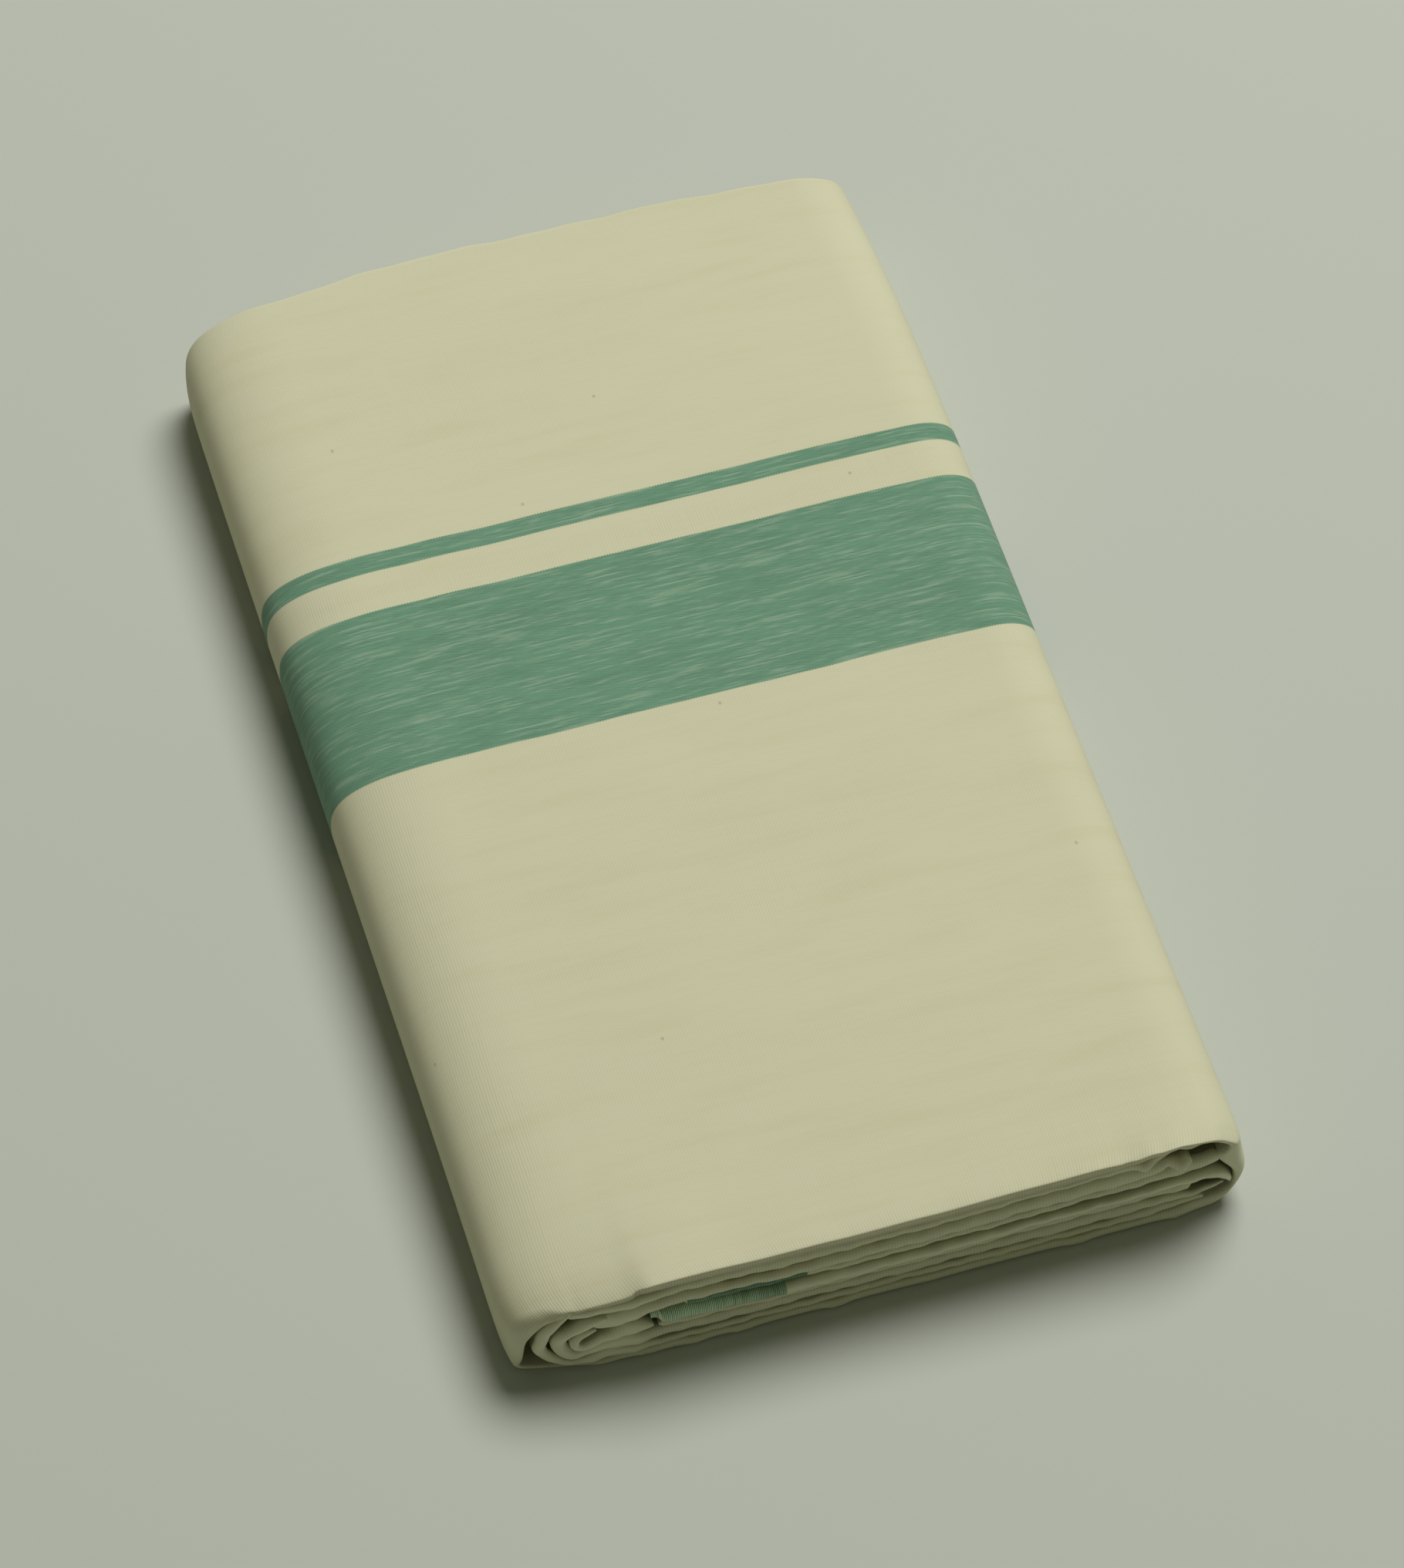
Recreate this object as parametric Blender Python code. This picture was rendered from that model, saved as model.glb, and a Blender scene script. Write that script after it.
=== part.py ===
# A dhoti cloth, folded along its length and rolled flat, lying on its underside.
# X runs across the pack, -Y is the end whose folds show, Z is up. Metres.

import bpy
import bmesh
import numpy as np

MM = 0.001

# Driving dimensions of the folded cloth
LENGTH = 313 * MM
WIDTH = 184 * MM
HEIGHT = 31 * MM
WALL = 1.2 * MM
GAP = 0.3 * MM

# Folded edges: the outer turn is doubled under itself over this depth
HEM_DEPTH = 12 * MM
HEM_WALL = 3.4 * MM
NOSE_DEPTH = 1.3 * MM
LEDGE = 0.7 * MM
HEM_FROM = 0.62
HEM_TO = 0.88
SIDE_HEM = 0.45
LEFT_HEM = 1.9
LEFT_HEM_FROM = 0.84
LEFT_HEM_TO = 0.95

# The hidden layers end this far behind the near edge, and show lips at the far one
INNER_BACK = HEM_DEPTH + LEDGE + GAP
FAR_LIPS = 7
LIP_SEGMENTS = 4
LIP_STATIONS = 21
LIP_GROOVE = 1.5 * MM
LIPS_INSIDE = 0.8 * MM
LIPS_SIDE = 10 * MM
LIPS_ROUND = 10 * MM
LIPS_ROUND_FROM = 0.74
LIPS_ROUND_TO = 0.92
LIP_FULLNESS = 0.6
LIP_HEM_SHARE = 0.3

# Cross-section: a superellipse quarter at each corner, in millimetres
# (width of the quarter, height of the quarter, power)
LEFT_UPPER = (28.0, 17.0, 2.7)
LEFT_LOWER = (11.0, 14.0, 2.6)
RIGHT_UPPER = (17.0, 13.0, 2.4)
RIGHT_LOWER = (8.0, 18.0, 2.6)

QUARTER_POINTS = 8
TOP_POINTS = 14
UNDER_POINTS = 9

# How far the rounded ends draw in: (amount at the very edge, distance it fades over)
DRAW_IN_POWER = 1.3
NEAR_LEFT_ROUND = (3.5 * MM, 7.0 * MM)
NEAR_RIGHT_ROUND = (1.6 * MM, 4.0 * MM)
FAR_LEFT_ROUND = (5.5 * MM, 8.0 * MM)
FAR_RIGHT_ROUND = (3.2 * MM, 4.5 * MM)

# The left side runs in by this much from the far end to the near one
LEFT_TAPER = 2.3 * MM

# The near edge steps back towards both sides: (from this x, to this x, by this much)
NEAR_STEP_LEFT = (-50 * MM, -86 * MM, 2.8 * MM)
NEAR_STEP_RIGHT = (72 * MM, 90 * MM, 1.4 * MM)
NEAR_STEP_POWER = 1.5
NEAR_STEP_MOST = 1.3
FAR_CROWN = 3.5 * MM
FAR_CROWN_POWER = 2.5
STEP_FADE = 60 * MM

# Swells and dips of the top beside the near crease, in millimetres:
# (x, height, half width, how far it reaches back)
TOP_SWELLS = (
    (61.0, 1.6, 20.0, 40.0),
    (-53.0, 1.3, 6.0, 14.0),
    (-69.0, -2.6, 9.0, 16.0),
    (3.0, -0.5, 22.0, 60.0),
)

# The swells fade in over these shares of the height
SWELL_FROM = 0.55
SWELL_TO = 0.95

# Rings of the outer turn, as distances in millimetres from its near and far edges
NEAR_RINGS = (3.0, 6.5, 12.0, 20.0, 34.0, 58.0)
FAR_RINGS = (45.0, 24.0, 13.0, 7.0, 3.4)
MIDDLE_RINGS = (0.36, 0.62)
NOSE_ANGLES = (-90.0, -50.0, 0.0, 50.0, 90.0)
SHARP_ANGLE = 50.0

# Where neighbouring folds meet at the near end: heights in millimetres at these x
GROOVE_X = (-65.0, -46.0, -26.0, -1.0, 27.0, 55.0, 79.0)
GROOVES = {
    "under_crease": (26.2, 27.2, 27.5, 27.0, 27.5, 28.1, 27.6),
    "under_upper": (22.4, 23.2, 23.1, 22.9, 24.0, 25.2, 25.0),
    "under_third": (18.6, 19.4, 19.3, 18.5, 19.0, 20.2, 20.8),
    "between_borders": (16.9, 16.6, 16.4, 15.4, 15.4, 16.4, 17.6),
    "under_borders": (12.9, 12.8, 12.7, 12.2, 13.0, 14.6, 15.6),
}

# Straight folds of the near end, in millimetres:
# groove above, groove below, left end, right end, set back from the near edge
STRAIGHT_FOLDS = {
    "near_fold_upper": ("under_crease", "under_upper", -60.5, 84.0, 0.9),
    "near_fold_third": ("under_upper", "under_third", -67.5, 75.0, 0.3),
    "border_ply_upper": ("under_third", "between_borders", -46.5, 82.5, 1.1),
    "border_ply_lower": ("between_borders", "under_borders", -53.0, 80.0, 0.3),
}

# The lower border ply turns down at its right end over the little pocket, in millimetres:
# rows of (x, z, half thickness, set back)
TURNED_END = {
    "border_ply_lower": (
        (81.6, 14.9, 1.0, 0.5),
        (83.6, 13.9, 1.3, 0.7),
        (85.4, 12.0, 1.0, 1.0),
        (86.7, 9.8, 0.5, 1.5),
    ),
}

# Folds that curl round, in millimetres: rows of (x, z, half thickness, set back)
CURLED_FOLDS = {
    "near_fold_middle": (
        (-51.0, 11.4, 0.8, 1.4),
        (-39.0, 11.4, 1.0, 1.2),
        (-14.0, 11.1, 0.95, 1.0),
        (11.0, 11.2, 1.0, 0.9),
        (36.0, 12.0, 1.3, 0.7),
        (61.0, 12.8, 1.65, 0.6),
        (77.0, 13.5, 1.4, 0.5),
        (78.6, 13.4, 1.3, 0.6),
    ),
    "left_curl_second": (
        (-64.4, 23.5, 0.4, 1.2),
        (-68.2, 23.3, 0.9, 1.2),
        (-72.2, 21.9, 1.5, 1.4),
        (-75.2, 18.4, 1.6, 1.8),
        (-76.0, 13.4, 1.4, 2.0),
        (-74.6, 9.9, 1.3, 1.8),
        (-71.0, 7.8, 1.3, 1.4),
        (-66.0, 8.2, 1.4, 1.0),
        (-59.0, 8.1, 1.4, 0.8),
        (-46.0, 8.1, 1.4, 0.5),
        (-26.0, 8.0, 1.5, 0.4),
        (-1.0, 7.9, 1.5, 0.4),
        (27.0, 8.1, 1.5, 0.4),
        (55.0, 8.5, 1.5, 0.4),
        (77.5, 8.6, 1.5, 0.6),
        (80.5, 7.9, 1.2, 1.4),
        (83.5, 7.2, 1.0, 2.4),
        (86.0, 7.0, 0.4, 3.0),
    ),
    "left_curl_outer": (
        (-74.6, 23.9, 0.5, 1.6),
        (-77.6, 21.4, 0.9, 1.8),
        (-79.4, 17.4, 1.2, 2.4),
        (-80.2, 13.0, 1.3, 2.8),
        (-79.4, 8.6, 1.2, 3.0),
        (-76.6, 5.4, 0.9, 2.8),
        (-72.0, 4.7, 0.8, 2.2),
        (-63.0, 5.1, 0.8, 1.2),
        (-46.0, 5.2, 0.8, 0.6),
        (-26.0, 5.1, 0.8, 0.6),
        (-1.0, 5.0, 0.8, 0.6),
        (27.0, 5.1, 0.8, 0.6),
        (55.0, 5.4, 0.8, 0.6),
        (81.0, 5.2, 0.7, 1.0),
    ),
    "left_curl_inner": (
        (-69.6, 17.6, 0.5, 1.6),
        (-72.2, 16.4, 0.9, 1.4),
        (-72.9, 13.9, 1.1, 1.4),
        (-71.0, 11.5, 1.0, 1.2),
        (-67.6, 11.8, 1.2, 1.0),
        (-64.0, 14.0, 1.9, 0.8),
        (-60.0, 14.5, 2.1, 0.6),
        (-56.2, 14.2, 1.7, 0.7),
        (-54.4, 13.9, 0.9, 1.2),
    ),
}

PLY_DEPTH = HEM_DEPTH
PLY_STEPS = 20
CURL_STEPS = 2
GROOVE_STEPS = 8
PLY_NOSE_ANGLES = (-90.0, -45.0, 0.0, 45.0, 90.0)
END_ROUND = 2.5
END_FULLNESS = 0.45
END_SET_BACK = 0.8

NEAR_Y = -LENGTH / 2
FAR_Y = LENGTH / 2
LEFT_X = -WIDTH / 2
RIGHT_X = WIDTH / 2

CREAM = (0.53, 0.51, 0.34)
GREEN = (0.14, 0.24, 0.15)
SHADED_CREAM = (0.45, 0.43, 0.29)


# A smooth ramp: 0 up to the first value, 1 from the second, an S between them.
def ramp(value, start, stop):
    t = np.clip((value - start) / (stop - start), 0.0, 1.0)
    return t * t * (3.0 - 2.0 * t)


# How far a rounded end has drawn in, this far from the edge.
def draw_in(distance, rounding):
    amount, reach = rounding
    return amount * np.exp(-((np.maximum(distance, 0.0) / reach) ** DRAW_IN_POWER))


# The left and right limits of the outer turn at y.
def side_limits(y):
    from_near = y - NEAR_Y
    from_far = FAR_Y - y
    left = LEFT_X + draw_in(from_near, NEAR_LEFT_ROUND) + draw_in(from_far, FAR_LEFT_ROUND)
    left = left + LEFT_TAPER * ramp(from_far, 0.0, LENGTH)
    right = RIGHT_X - draw_in(from_near, NEAR_RIGHT_ROUND) - draw_in(from_far, FAR_RIGHT_ROUND)
    return left, right


# Soft swells of the top: bells across the width that fade back from the near edge.
def top_swell(x, y):
    height = np.zeros(np.broadcast(x, y).shape)
    for centre, rise, half_width, reach in TOP_SWELLS:
        bell = np.exp(-(((x - centre * MM) / (half_width * MM)) ** 2))
        fade = np.exp(-np.maximum(y - NEAR_Y, 0.0) / (reach * MM))
        height = height + rise * MM * bell * fade
    return height


# One superellipse quarter: sideways and upward offsets from its centre, from the
# flat (0 degrees) to the side (90 degrees).
def quarter(shape, inset, turn):
    width, height, power = shape
    sideways = (width * MM - inset) * np.sin(turn) ** (2.0 / power)
    upward = (height * MM - inset) * np.cos(turn) ** (2.0 / power)
    return sideways, upward


# The closed cross-section of the outer turn, inset from its outer face: up the right
# side, back along the top, down the left side and along the underside. Each point takes
# its own y, so that a stepped edge still lies on the surface.
def cross_section(y, inset):
    turn = np.linspace(0.0, np.pi / 2, QUARTER_POINTS + 1)
    parts = (
        ("right_lower", RIGHT_LOWER, turn),
        ("right_upper", RIGHT_UPPER, turn[::-1][1:]),
        ("left_upper", LEFT_UPPER, turn),
        ("left_lower", LEFT_LOWER, turn[::-1][1:]),
    )
    x_list, z_list = [], []
    place = 0
    for name, shape, angles in parts:
        count = len(angles)
        own_y, own_inset = y[place:place + count], inset[place:place + count]
        left, right = side_limits(own_y)
        sideways, upward = quarter(shape, own_inset, angles)
        side = 1.0 if name.startswith("right") else -1.0
        centre_x = (right if side > 0 else left) - side * shape[0] * MM
        is_lower = name.endswith("lower")
        centre_z = shape[1] * MM if is_lower else HEIGHT - shape[1] * MM
        x_list.append(centre_x + side * sideways)
        z_list.append(centre_z - upward if is_lower else centre_z + upward)
        place += count
        if name == "right_upper":
            place = add_flat(x_list, z_list, y, inset, place, TOP_POINTS, True)
    add_flat(x_list, z_list, y, inset, place, UNDER_POINTS, False)
    x, z = np.concatenate(x_list), np.concatenate(z_list)
    upper = ramp(z, SWELL_FROM * HEIGHT, SWELL_TO * HEIGHT)
    return x, z + upper * top_swell(x, y)


# The flat stretch between two corners, top or underside, appended to the lists.
def add_flat(x_list, z_list, y, inset, place, count, is_top):
    own_y, own_inset = y[place:place + count], inset[place:place + count]
    left, right = side_limits(own_y)
    share = np.linspace(0.0, 1.0, count + 2)[1:-1]
    if is_top:
        start, stop = right - RIGHT_UPPER[0] * MM, left + LEFT_UPPER[0] * MM
        z_list.append(HEIGHT - own_inset)
    else:
        start, stop = left + LEFT_LOWER[0] * MM, right - RIGHT_LOWER[0] * MM
        z_list.append(own_inset)
    x_list.append(start + (stop - start) * share)
    return place + count


RING_POINTS = 4 * QUARTER_POINTS + 2 + TOP_POINTS + UNDER_POINTS


# How far the near and far edges stand back at x.
def near_step(x):
    step = 0.0 * x
    for start, stop, amount in (NEAR_STEP_LEFT, NEAR_STEP_RIGHT):
        share = np.clip((x - start) / (stop - start), 0.0, NEAR_STEP_MOST)
        step = step + amount * share ** NEAR_STEP_POWER
    return step


def far_step(x):
    return FAR_CROWN * np.abs(x / RIGHT_X) ** FAR_CROWN_POWER


# How much of the doubled wall there is at x: less at the sides, but more than all of it
# at the near end's left side, where two turns lie together.
def doubled_share(x, near):
    right = 1.0 - (1.0 - SIDE_HEM) * ramp(x / RIGHT_X, HEM_FROM, HEM_TO)
    if near:
        left = 1.0 + (LEFT_HEM - 1.0) * ramp(x / LEFT_X, LEFT_HEM_FROM, LEFT_HEM_TO)
    else:
        left = 1.0 - (1.0 - SIDE_HEM) * ramp(x / LEFT_X, HEM_FROM, HEM_TO)
    return right * left


# Wall of the outer turn: doubled near both edges.
def wall_at(flatness, distance):
    doubled = WALL + (HEM_WALL - WALL) * flatness
    return doubled + (WALL - doubled) * ramp(distance, HEM_DEPTH, HEM_DEPTH + LEDGE)


# A ring of the outer turn: at a distance from an edge, on the outer face (depth 0) or
# the inner one (depth 1).
def wrap_ring(distance, depth, near):
    even = np.full(RING_POINTS, NEAR_Y + distance if near else FAR_Y - distance)
    x, _ = cross_section(even, np.zeros(RING_POINTS))
    flatness = doubled_share(x, near)
    y = stepped(x, even[0])
    x, z = cross_section(y, depth * wall_at(flatness, distance))
    return np.column_stack([x, y, z])


# The distance and wall depth of each ring round a folded nose, outer face first.
def nose_rows():
    turn = np.radians(NOSE_ANGLES)
    return [(NOSE_DEPTH * (1.0 - np.cos(a)), 0.5 + 0.5 * np.sin(a)) for a in turn]


# Rows of equal point counts as one closed surface; open ends get caps.
def loft(name, rings, color, closed=False):
    rings = np.asarray(rings)
    rows, count = rings.shape[:2]
    index = np.arange(rows * count).reshape(rows, count)
    first = index if closed else index[:-1]
    second = np.roll(index, -1, axis=0) if closed else index[1:]
    quads = np.stack(
        [first, np.roll(first, -1, axis=1), np.roll(second, -1, axis=1), second], axis=-1
    ).reshape(-1, 4)
    mesh = bpy.data.meshes.new(name)
    points, faces = rings.reshape(-1, 3), quads.tolist()
    if not closed:
        points = np.vstack([points, rings[0].mean(axis=0), rings[-1].mean(axis=0)])
        faces += fan(index[0][::-1], rows * count) + fan(index[-1], rows * count + 1)
    mesh.from_pydata(points.tolist(), [], faces)
    shape = bmesh.new()
    shape.from_mesh(mesh)
    bmesh.ops.triangulate(shape, faces=shape.faces[:])
    bmesh.ops.recalc_face_normals(shape, faces=shape.faces[:])
    if shape.calc_volume(signed=True) < 0.0:
        bmesh.ops.reverse_faces(shape, faces=shape.faces[:])
    shape.to_mesh(mesh)
    shape.free()
    mesh.shade_smooth()
    mesh.set_sharp_from_angle(angle=np.radians(SHARP_ANGLE))
    piece = bpy.data.objects.new(name, mesh)
    mesh.materials.append(cotton(name + "_cotton", color))
    collection.objects.link(piece)
    return piece


# Triangles from each side of a ring to its middle point.
def fan(ring, middle):
    return np.column_stack([ring, np.roll(ring, -1), np.full(len(ring), middle)]).tolist()


def cotton(name, color):
    material = bpy.data.materials.new(name)
    material.use_nodes = True
    shader = material.node_tree.nodes["Principled BSDF"]
    shader.inputs["Base Color"].default_value = (*color, 1.0)
    shader.inputs["Roughness"].default_value = 0.9
    shader.inputs["Metallic"].default_value = 0.0
    return material


# The outer turn: a wall all round, as rings out over the near nose, back along the
# outer face, round the far nose and forward again along the inner face.
def outer_wrap():
    nose = nose_rows()
    mouth, deep = HEM_DEPTH, HEM_DEPTH + LEDGE
    rings = [wrap_ring(d, depth, True) for d, depth in reversed(nose)]
    rings += [wrap_ring(d * MM, 0.0, True) for d in NEAR_RINGS]
    rings += [wrap_ring(share * LENGTH, 0.0, True) for share in MIDDLE_RINGS]
    rings += [wrap_ring(d * MM, 0.0, False) for d in FAR_RINGS]
    rings += [wrap_ring(d, depth, False) for d, depth in nose]
    rings += [wrap_ring(d, 1.0, False) for d in (mouth, deep)]
    rings += [wrap_ring(d * MM, 1.0, False) for d in FAR_RINGS[1::-1]]
    rings += [wrap_ring(share * LENGTH, 1.0, True) for share in MIDDLE_RINGS[::-1]]
    rings += [wrap_ring(d * MM, 1.0, True) for d in NEAR_RINGS[:-4:-1]]
    rings += [wrap_ring(d, 1.0, True) for d in (deep, mouth)]
    return loft("outer_wrap", rings, CREAM, closed=True)


# Top and bottom of the far lips at x, inset from the outer face.
def height_limits(x, inset):
    left, right = side_limits(np.array(FAR_Y - LIPS_ROUND / 2))
    bottom, top = inset, HEIGHT - inset
    corners = (
        (LEFT_UPPER, left, -1.0, True),
        (RIGHT_UPPER, right, 1.0, True),
        (LEFT_LOWER, left, -1.0, False),
        (RIGHT_LOWER, right, 1.0, False),
    )
    for (width, height, power), side_x, side, is_upper in corners:
        centre = side_x - side * width * MM
        share = np.clip((x - centre) * side / (width * MM - inset), 0.0, 1.0)
        rise = (height * MM - inset) * (1.0 - share ** power) ** (1.0 / power)
        if (x - centre) * side > 0.0 and is_upper:
            top = HEIGHT - height * MM + rise
        elif (x - centre) * side > 0.0:
            bottom = height * MM - rise
    return bottom, top


# The layered far end: outlines in Y and Z with a lip for each fold, carried along X.
def far_lips():
    half = WIDTH / 2 - LIPS_SIDE
    turn = np.linspace(-1.0, 1.0, LIP_STATIONS)
    lip_turn = np.linspace(0.0, 1.0, LIP_SEGMENTS, endpoint=False)
    share = (np.arange(FAR_LIPS)[:, None] + lip_turn[None, :]).ravel() / FAR_LIPS
    share = np.append(share, 1.0)
    bulge = np.append(np.tile(np.sin(np.pi * lip_turn) ** LIP_FULLNESS, FAR_LIPS), 0.0)
    rings = []
    for x in half * np.sin(turn * np.pi / 2):
        bottom, top = height_limits(x, WALL + 2 * GAP)
        hem = (HEM_WALL - WALL) * doubled_share(x, False)
        hem = min(hem, LIP_HEM_SHARE * (top - bottom))
        face_low, face_high = bottom + hem, top - hem
        round_back = LIPS_ROUND * ramp(abs(x) / RIGHT_X, LIPS_ROUND_FROM, LIPS_ROUND_TO)
        lips_y = FAR_Y - far_step(x) - round_back - LIPS_INSIDE - LIP_GROOVE * (1.0 - bulge)
        lips_z = face_high + (face_low - face_high) * share
        root_y = FAR_Y - HEM_DEPTH - 2 * LIPS_ROUND
        outline = [(root_y, face_low), (root_y, face_high)] + list(zip(lips_y, lips_z))
        rings.append([(x, y, z) for y, z in outline])
    return loft("far_lips", rings, SHADED_CREAM)


# The hidden layers: one rounded solid inside the outer turn, with the far lips joined on.
def inner_layers():
    front = NEAR_Y + INNER_BACK
    rear = FAR_Y - HEM_DEPTH - LEDGE - GAP
    places = [front]
    places += [NEAR_Y + d * MM for d in NEAR_RINGS[-3:]]
    places += [NEAR_Y + share * LENGTH for share in MIDDLE_RINGS]
    places += [FAR_Y - d * MM for d in FAR_RINGS[:2]]
    places += [rear]
    body = loft("inner_layers", [inner_ring(y) for y in places], SHADED_CREAM)
    lips = far_lips()
    lips.hide_render = True
    lips.display_type = "WIRE"
    collection.objects.unlink(lips)
    helpers.objects.link(lips)
    join = body.modifiers.new("far_lips", "BOOLEAN")
    join.operation = "UNION"
    join.object = lips
    return body


def inner_ring(y_place):
    x, z = cross_section(np.full(RING_POINTS, y_place), np.full(RING_POINTS, WALL + GAP))
    return np.column_stack([x, stepped(x, y_place), z])


# The place along Y of a ring point, with the steps of both edges faded in.
def stepped(x, y_place):
    near_fade = 1.0 - ramp(y_place - NEAR_Y, 0.0, STEP_FADE)
    far_fade = 1.0 - ramp(FAR_Y - y_place, 0.0, STEP_FADE)
    return y_place + near_step(x) * near_fade - far_step(x) * far_fade


# A smooth line through rows of numbers, some steps for each row (Catmull-Rom).
def smooth_rows(rows, steps):
    rows = np.asarray(rows, dtype=float)
    padded = np.vstack([2 * rows[0] - rows[1], rows, 2 * rows[-1] - rows[-2]])
    a, b, c, d = padded[:-3], padded[1:-2], padded[2:-1], padded[3:]
    t = (np.arange(steps) / steps)[None, :, None]
    a, b, c, d = (v[:, None, :] for v in (a, b, c, d))
    curve = 0.5 * (2 * b + (c - a) * t + (2 * a - 5 * b + 4 * c - d) * t ** 2
                   + (3 * b - a - 3 * c + d) * t ** 3)
    return np.vstack([curve.reshape(-1, rows.shape[1]), rows[-1]])


# A fold: a flat strip with a rounded nose, carried along a path in X and Z.
def fold(name, rows, color):
    x, z, half, back = rows.T * MM
    ahead_x, ahead_z = np.gradient(x), np.gradient(z)
    length = np.hypot(ahead_x, ahead_z)
    across_x, across_z = -ahead_z / length, ahead_x / length
    nose = np.minimum(half, NOSE_DEPTH)
    angles = np.radians(PLY_NOSE_ANGLES)
    section_across = np.concatenate([[-1.0], np.sin(angles), [1.0]])
    front = back[:, None] + nose[:, None] * (1.0 - np.cos(angles))[None, :]
    deep = np.full((len(x), 1), PLY_DEPTH)
    set_back = np.hstack([deep, front, deep])
    across = half[:, None] * section_across[None, :]
    points = np.stack(
        [
            x[:, None] + across * across_x[:, None],
            NEAR_Y + set_back,
            z[:, None] + across * across_z[:, None],
        ],
        axis=-1,
    )
    return loft(name, points, color)


# Rows for a straight fold: half way between its two grooves, thinner and set back
# towards its ends, with the rows of a turned end after them.
def straight_rows(above, below, left, right, back, turned):
    x = np.linspace(left, right, PLY_STEPS)
    upper = smooth_groove(above, x)
    lower = smooth_groove(below, x)
    to_right = np.full(len(x), END_ROUND) if turned else right - x
    from_end = np.clip(np.minimum(x - left, to_right) / END_ROUND, 0.0, 1.0)
    fullness = END_FULLNESS + (1.0 - END_FULLNESS) * np.sqrt(1.0 - (1.0 - from_end) ** 2)
    half = ((upper - lower) / 2 - GAP / MM / 2) * fullness
    set_back = back + END_SET_BACK * (1.0 - fullness) + near_step(x * MM) / MM
    rows = np.column_stack([x, (upper + lower) / 2, half, set_back])
    return np.vstack([rows, turned]) if turned else rows


# The height at x of the groove with this name.
def smooth_groove(name, x):
    table = np.column_stack([GROOVE_X, GROOVES[name]])
    line = smooth_rows(table, GROOVE_STEPS)
    return np.interp(x, line[:, 0], line[:, 1])


def build():
    outer_wrap()
    inner_layers()
    for name, (above, below, left, right, back) in STRAIGHT_FOLDS.items():
        color = GREEN if name.startswith("border") else SHADED_CREAM
        rows = straight_rows(above, below, left, right, back, TURNED_END.get(name))
        fold(name, rows, color)
    for name, rows in CURLED_FOLDS.items():
        fold(name, smooth_rows(rows, CURL_STEPS), SHADED_CREAM)


for old in list(bpy.data.objects):
    bpy.data.objects.remove(old, do_unlink=True)
collection = bpy.data.collections.new("folded_dhoti_cloth")
helpers = bpy.data.collections.new("joined_shapes")
bpy.context.scene.collection.children.link(collection)
bpy.context.scene.collection.children.link(helpers)
build()
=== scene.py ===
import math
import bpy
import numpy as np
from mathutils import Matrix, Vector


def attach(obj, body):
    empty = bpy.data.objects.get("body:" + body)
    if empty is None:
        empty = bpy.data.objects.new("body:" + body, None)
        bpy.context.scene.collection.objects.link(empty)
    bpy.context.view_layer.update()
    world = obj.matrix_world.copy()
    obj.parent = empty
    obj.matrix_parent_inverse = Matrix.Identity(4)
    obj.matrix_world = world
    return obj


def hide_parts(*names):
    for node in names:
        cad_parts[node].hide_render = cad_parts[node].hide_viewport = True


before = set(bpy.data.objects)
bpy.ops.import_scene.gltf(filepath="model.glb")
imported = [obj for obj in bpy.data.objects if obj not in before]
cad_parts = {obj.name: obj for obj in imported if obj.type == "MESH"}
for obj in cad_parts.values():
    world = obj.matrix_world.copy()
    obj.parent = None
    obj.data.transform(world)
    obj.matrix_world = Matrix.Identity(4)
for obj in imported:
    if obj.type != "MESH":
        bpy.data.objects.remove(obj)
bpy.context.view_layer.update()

# A dhoti cloth, folded along its length and rolled flat. The solids of the frame get thin
# cotton shells here, on the same forms. X runs across the pack, -Y is the end whose folds
# show, Z is up. Lengths are millimetres until a mesh is made.

mm = 0.001
sharpAngle = 60.0    # degrees between faces from which their edge stays sharp

pack = {
    "length": 313.0, "width": 184.0, "height": 31.0,
    "leftTaper": 2.3,           # the left side runs in by this much towards the near end
    "nearLeftRound": (3.5, 7.0), "nearRightRound": (1.6, 4.0),    # (drawn in by, faded over)
    "farLeftRound": (4.2, 7.0), "farRightRound": (3.3, 29.0),
    "roundPower": 1.3,
    # the near edge stands back at both ends: (from x, to x, by)
    "leftStep": (-50.0, -86.0, 2.8), "rightStep": (72.0, 90.0, 1.4),
    "stepPower": 1.5, "stepMost": 1.3, "stepFade": 60.0,
    "farCrown": 3.5, "farCrownPower": 2.5, "farLeftStep": (-34.0, -72.0, 2.1),
    # unevenness of the far edge: (amount, length, turn)
    "farWaver": ((0.22, 61.0, 0.7), (0.16, 27.0, 2.1), (0.12, 14.5, 4.0)),
    "swellFrom": 0.55, "swellTo": 0.95,    # shares of the height between which the top swells
    "ply": 0.45,                # thickness of the cloth as it is drawn here
}
nearY, farY = -pack["length"] / 2, pack["length"] / 2
leftX, rightX = -pack["width"] / 2, pack["width"] / 2


def ramp(value, start, stop):
    # an S curve, 0 up to start and 1 from stop, also where stop is the smaller one: t squared
    # times (3 - 2t)
    t = np.clip((value - start) / (stop - start), 0.0, 1.0)
    return t * t * (3.0 - 2.0 * t)


def bell(value, centre, halfWidth):
    # a bell of height 1: e to the minus of the squared share of the half width
    return np.exp(-(((value - centre) / halfWidth) ** 2))


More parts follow.
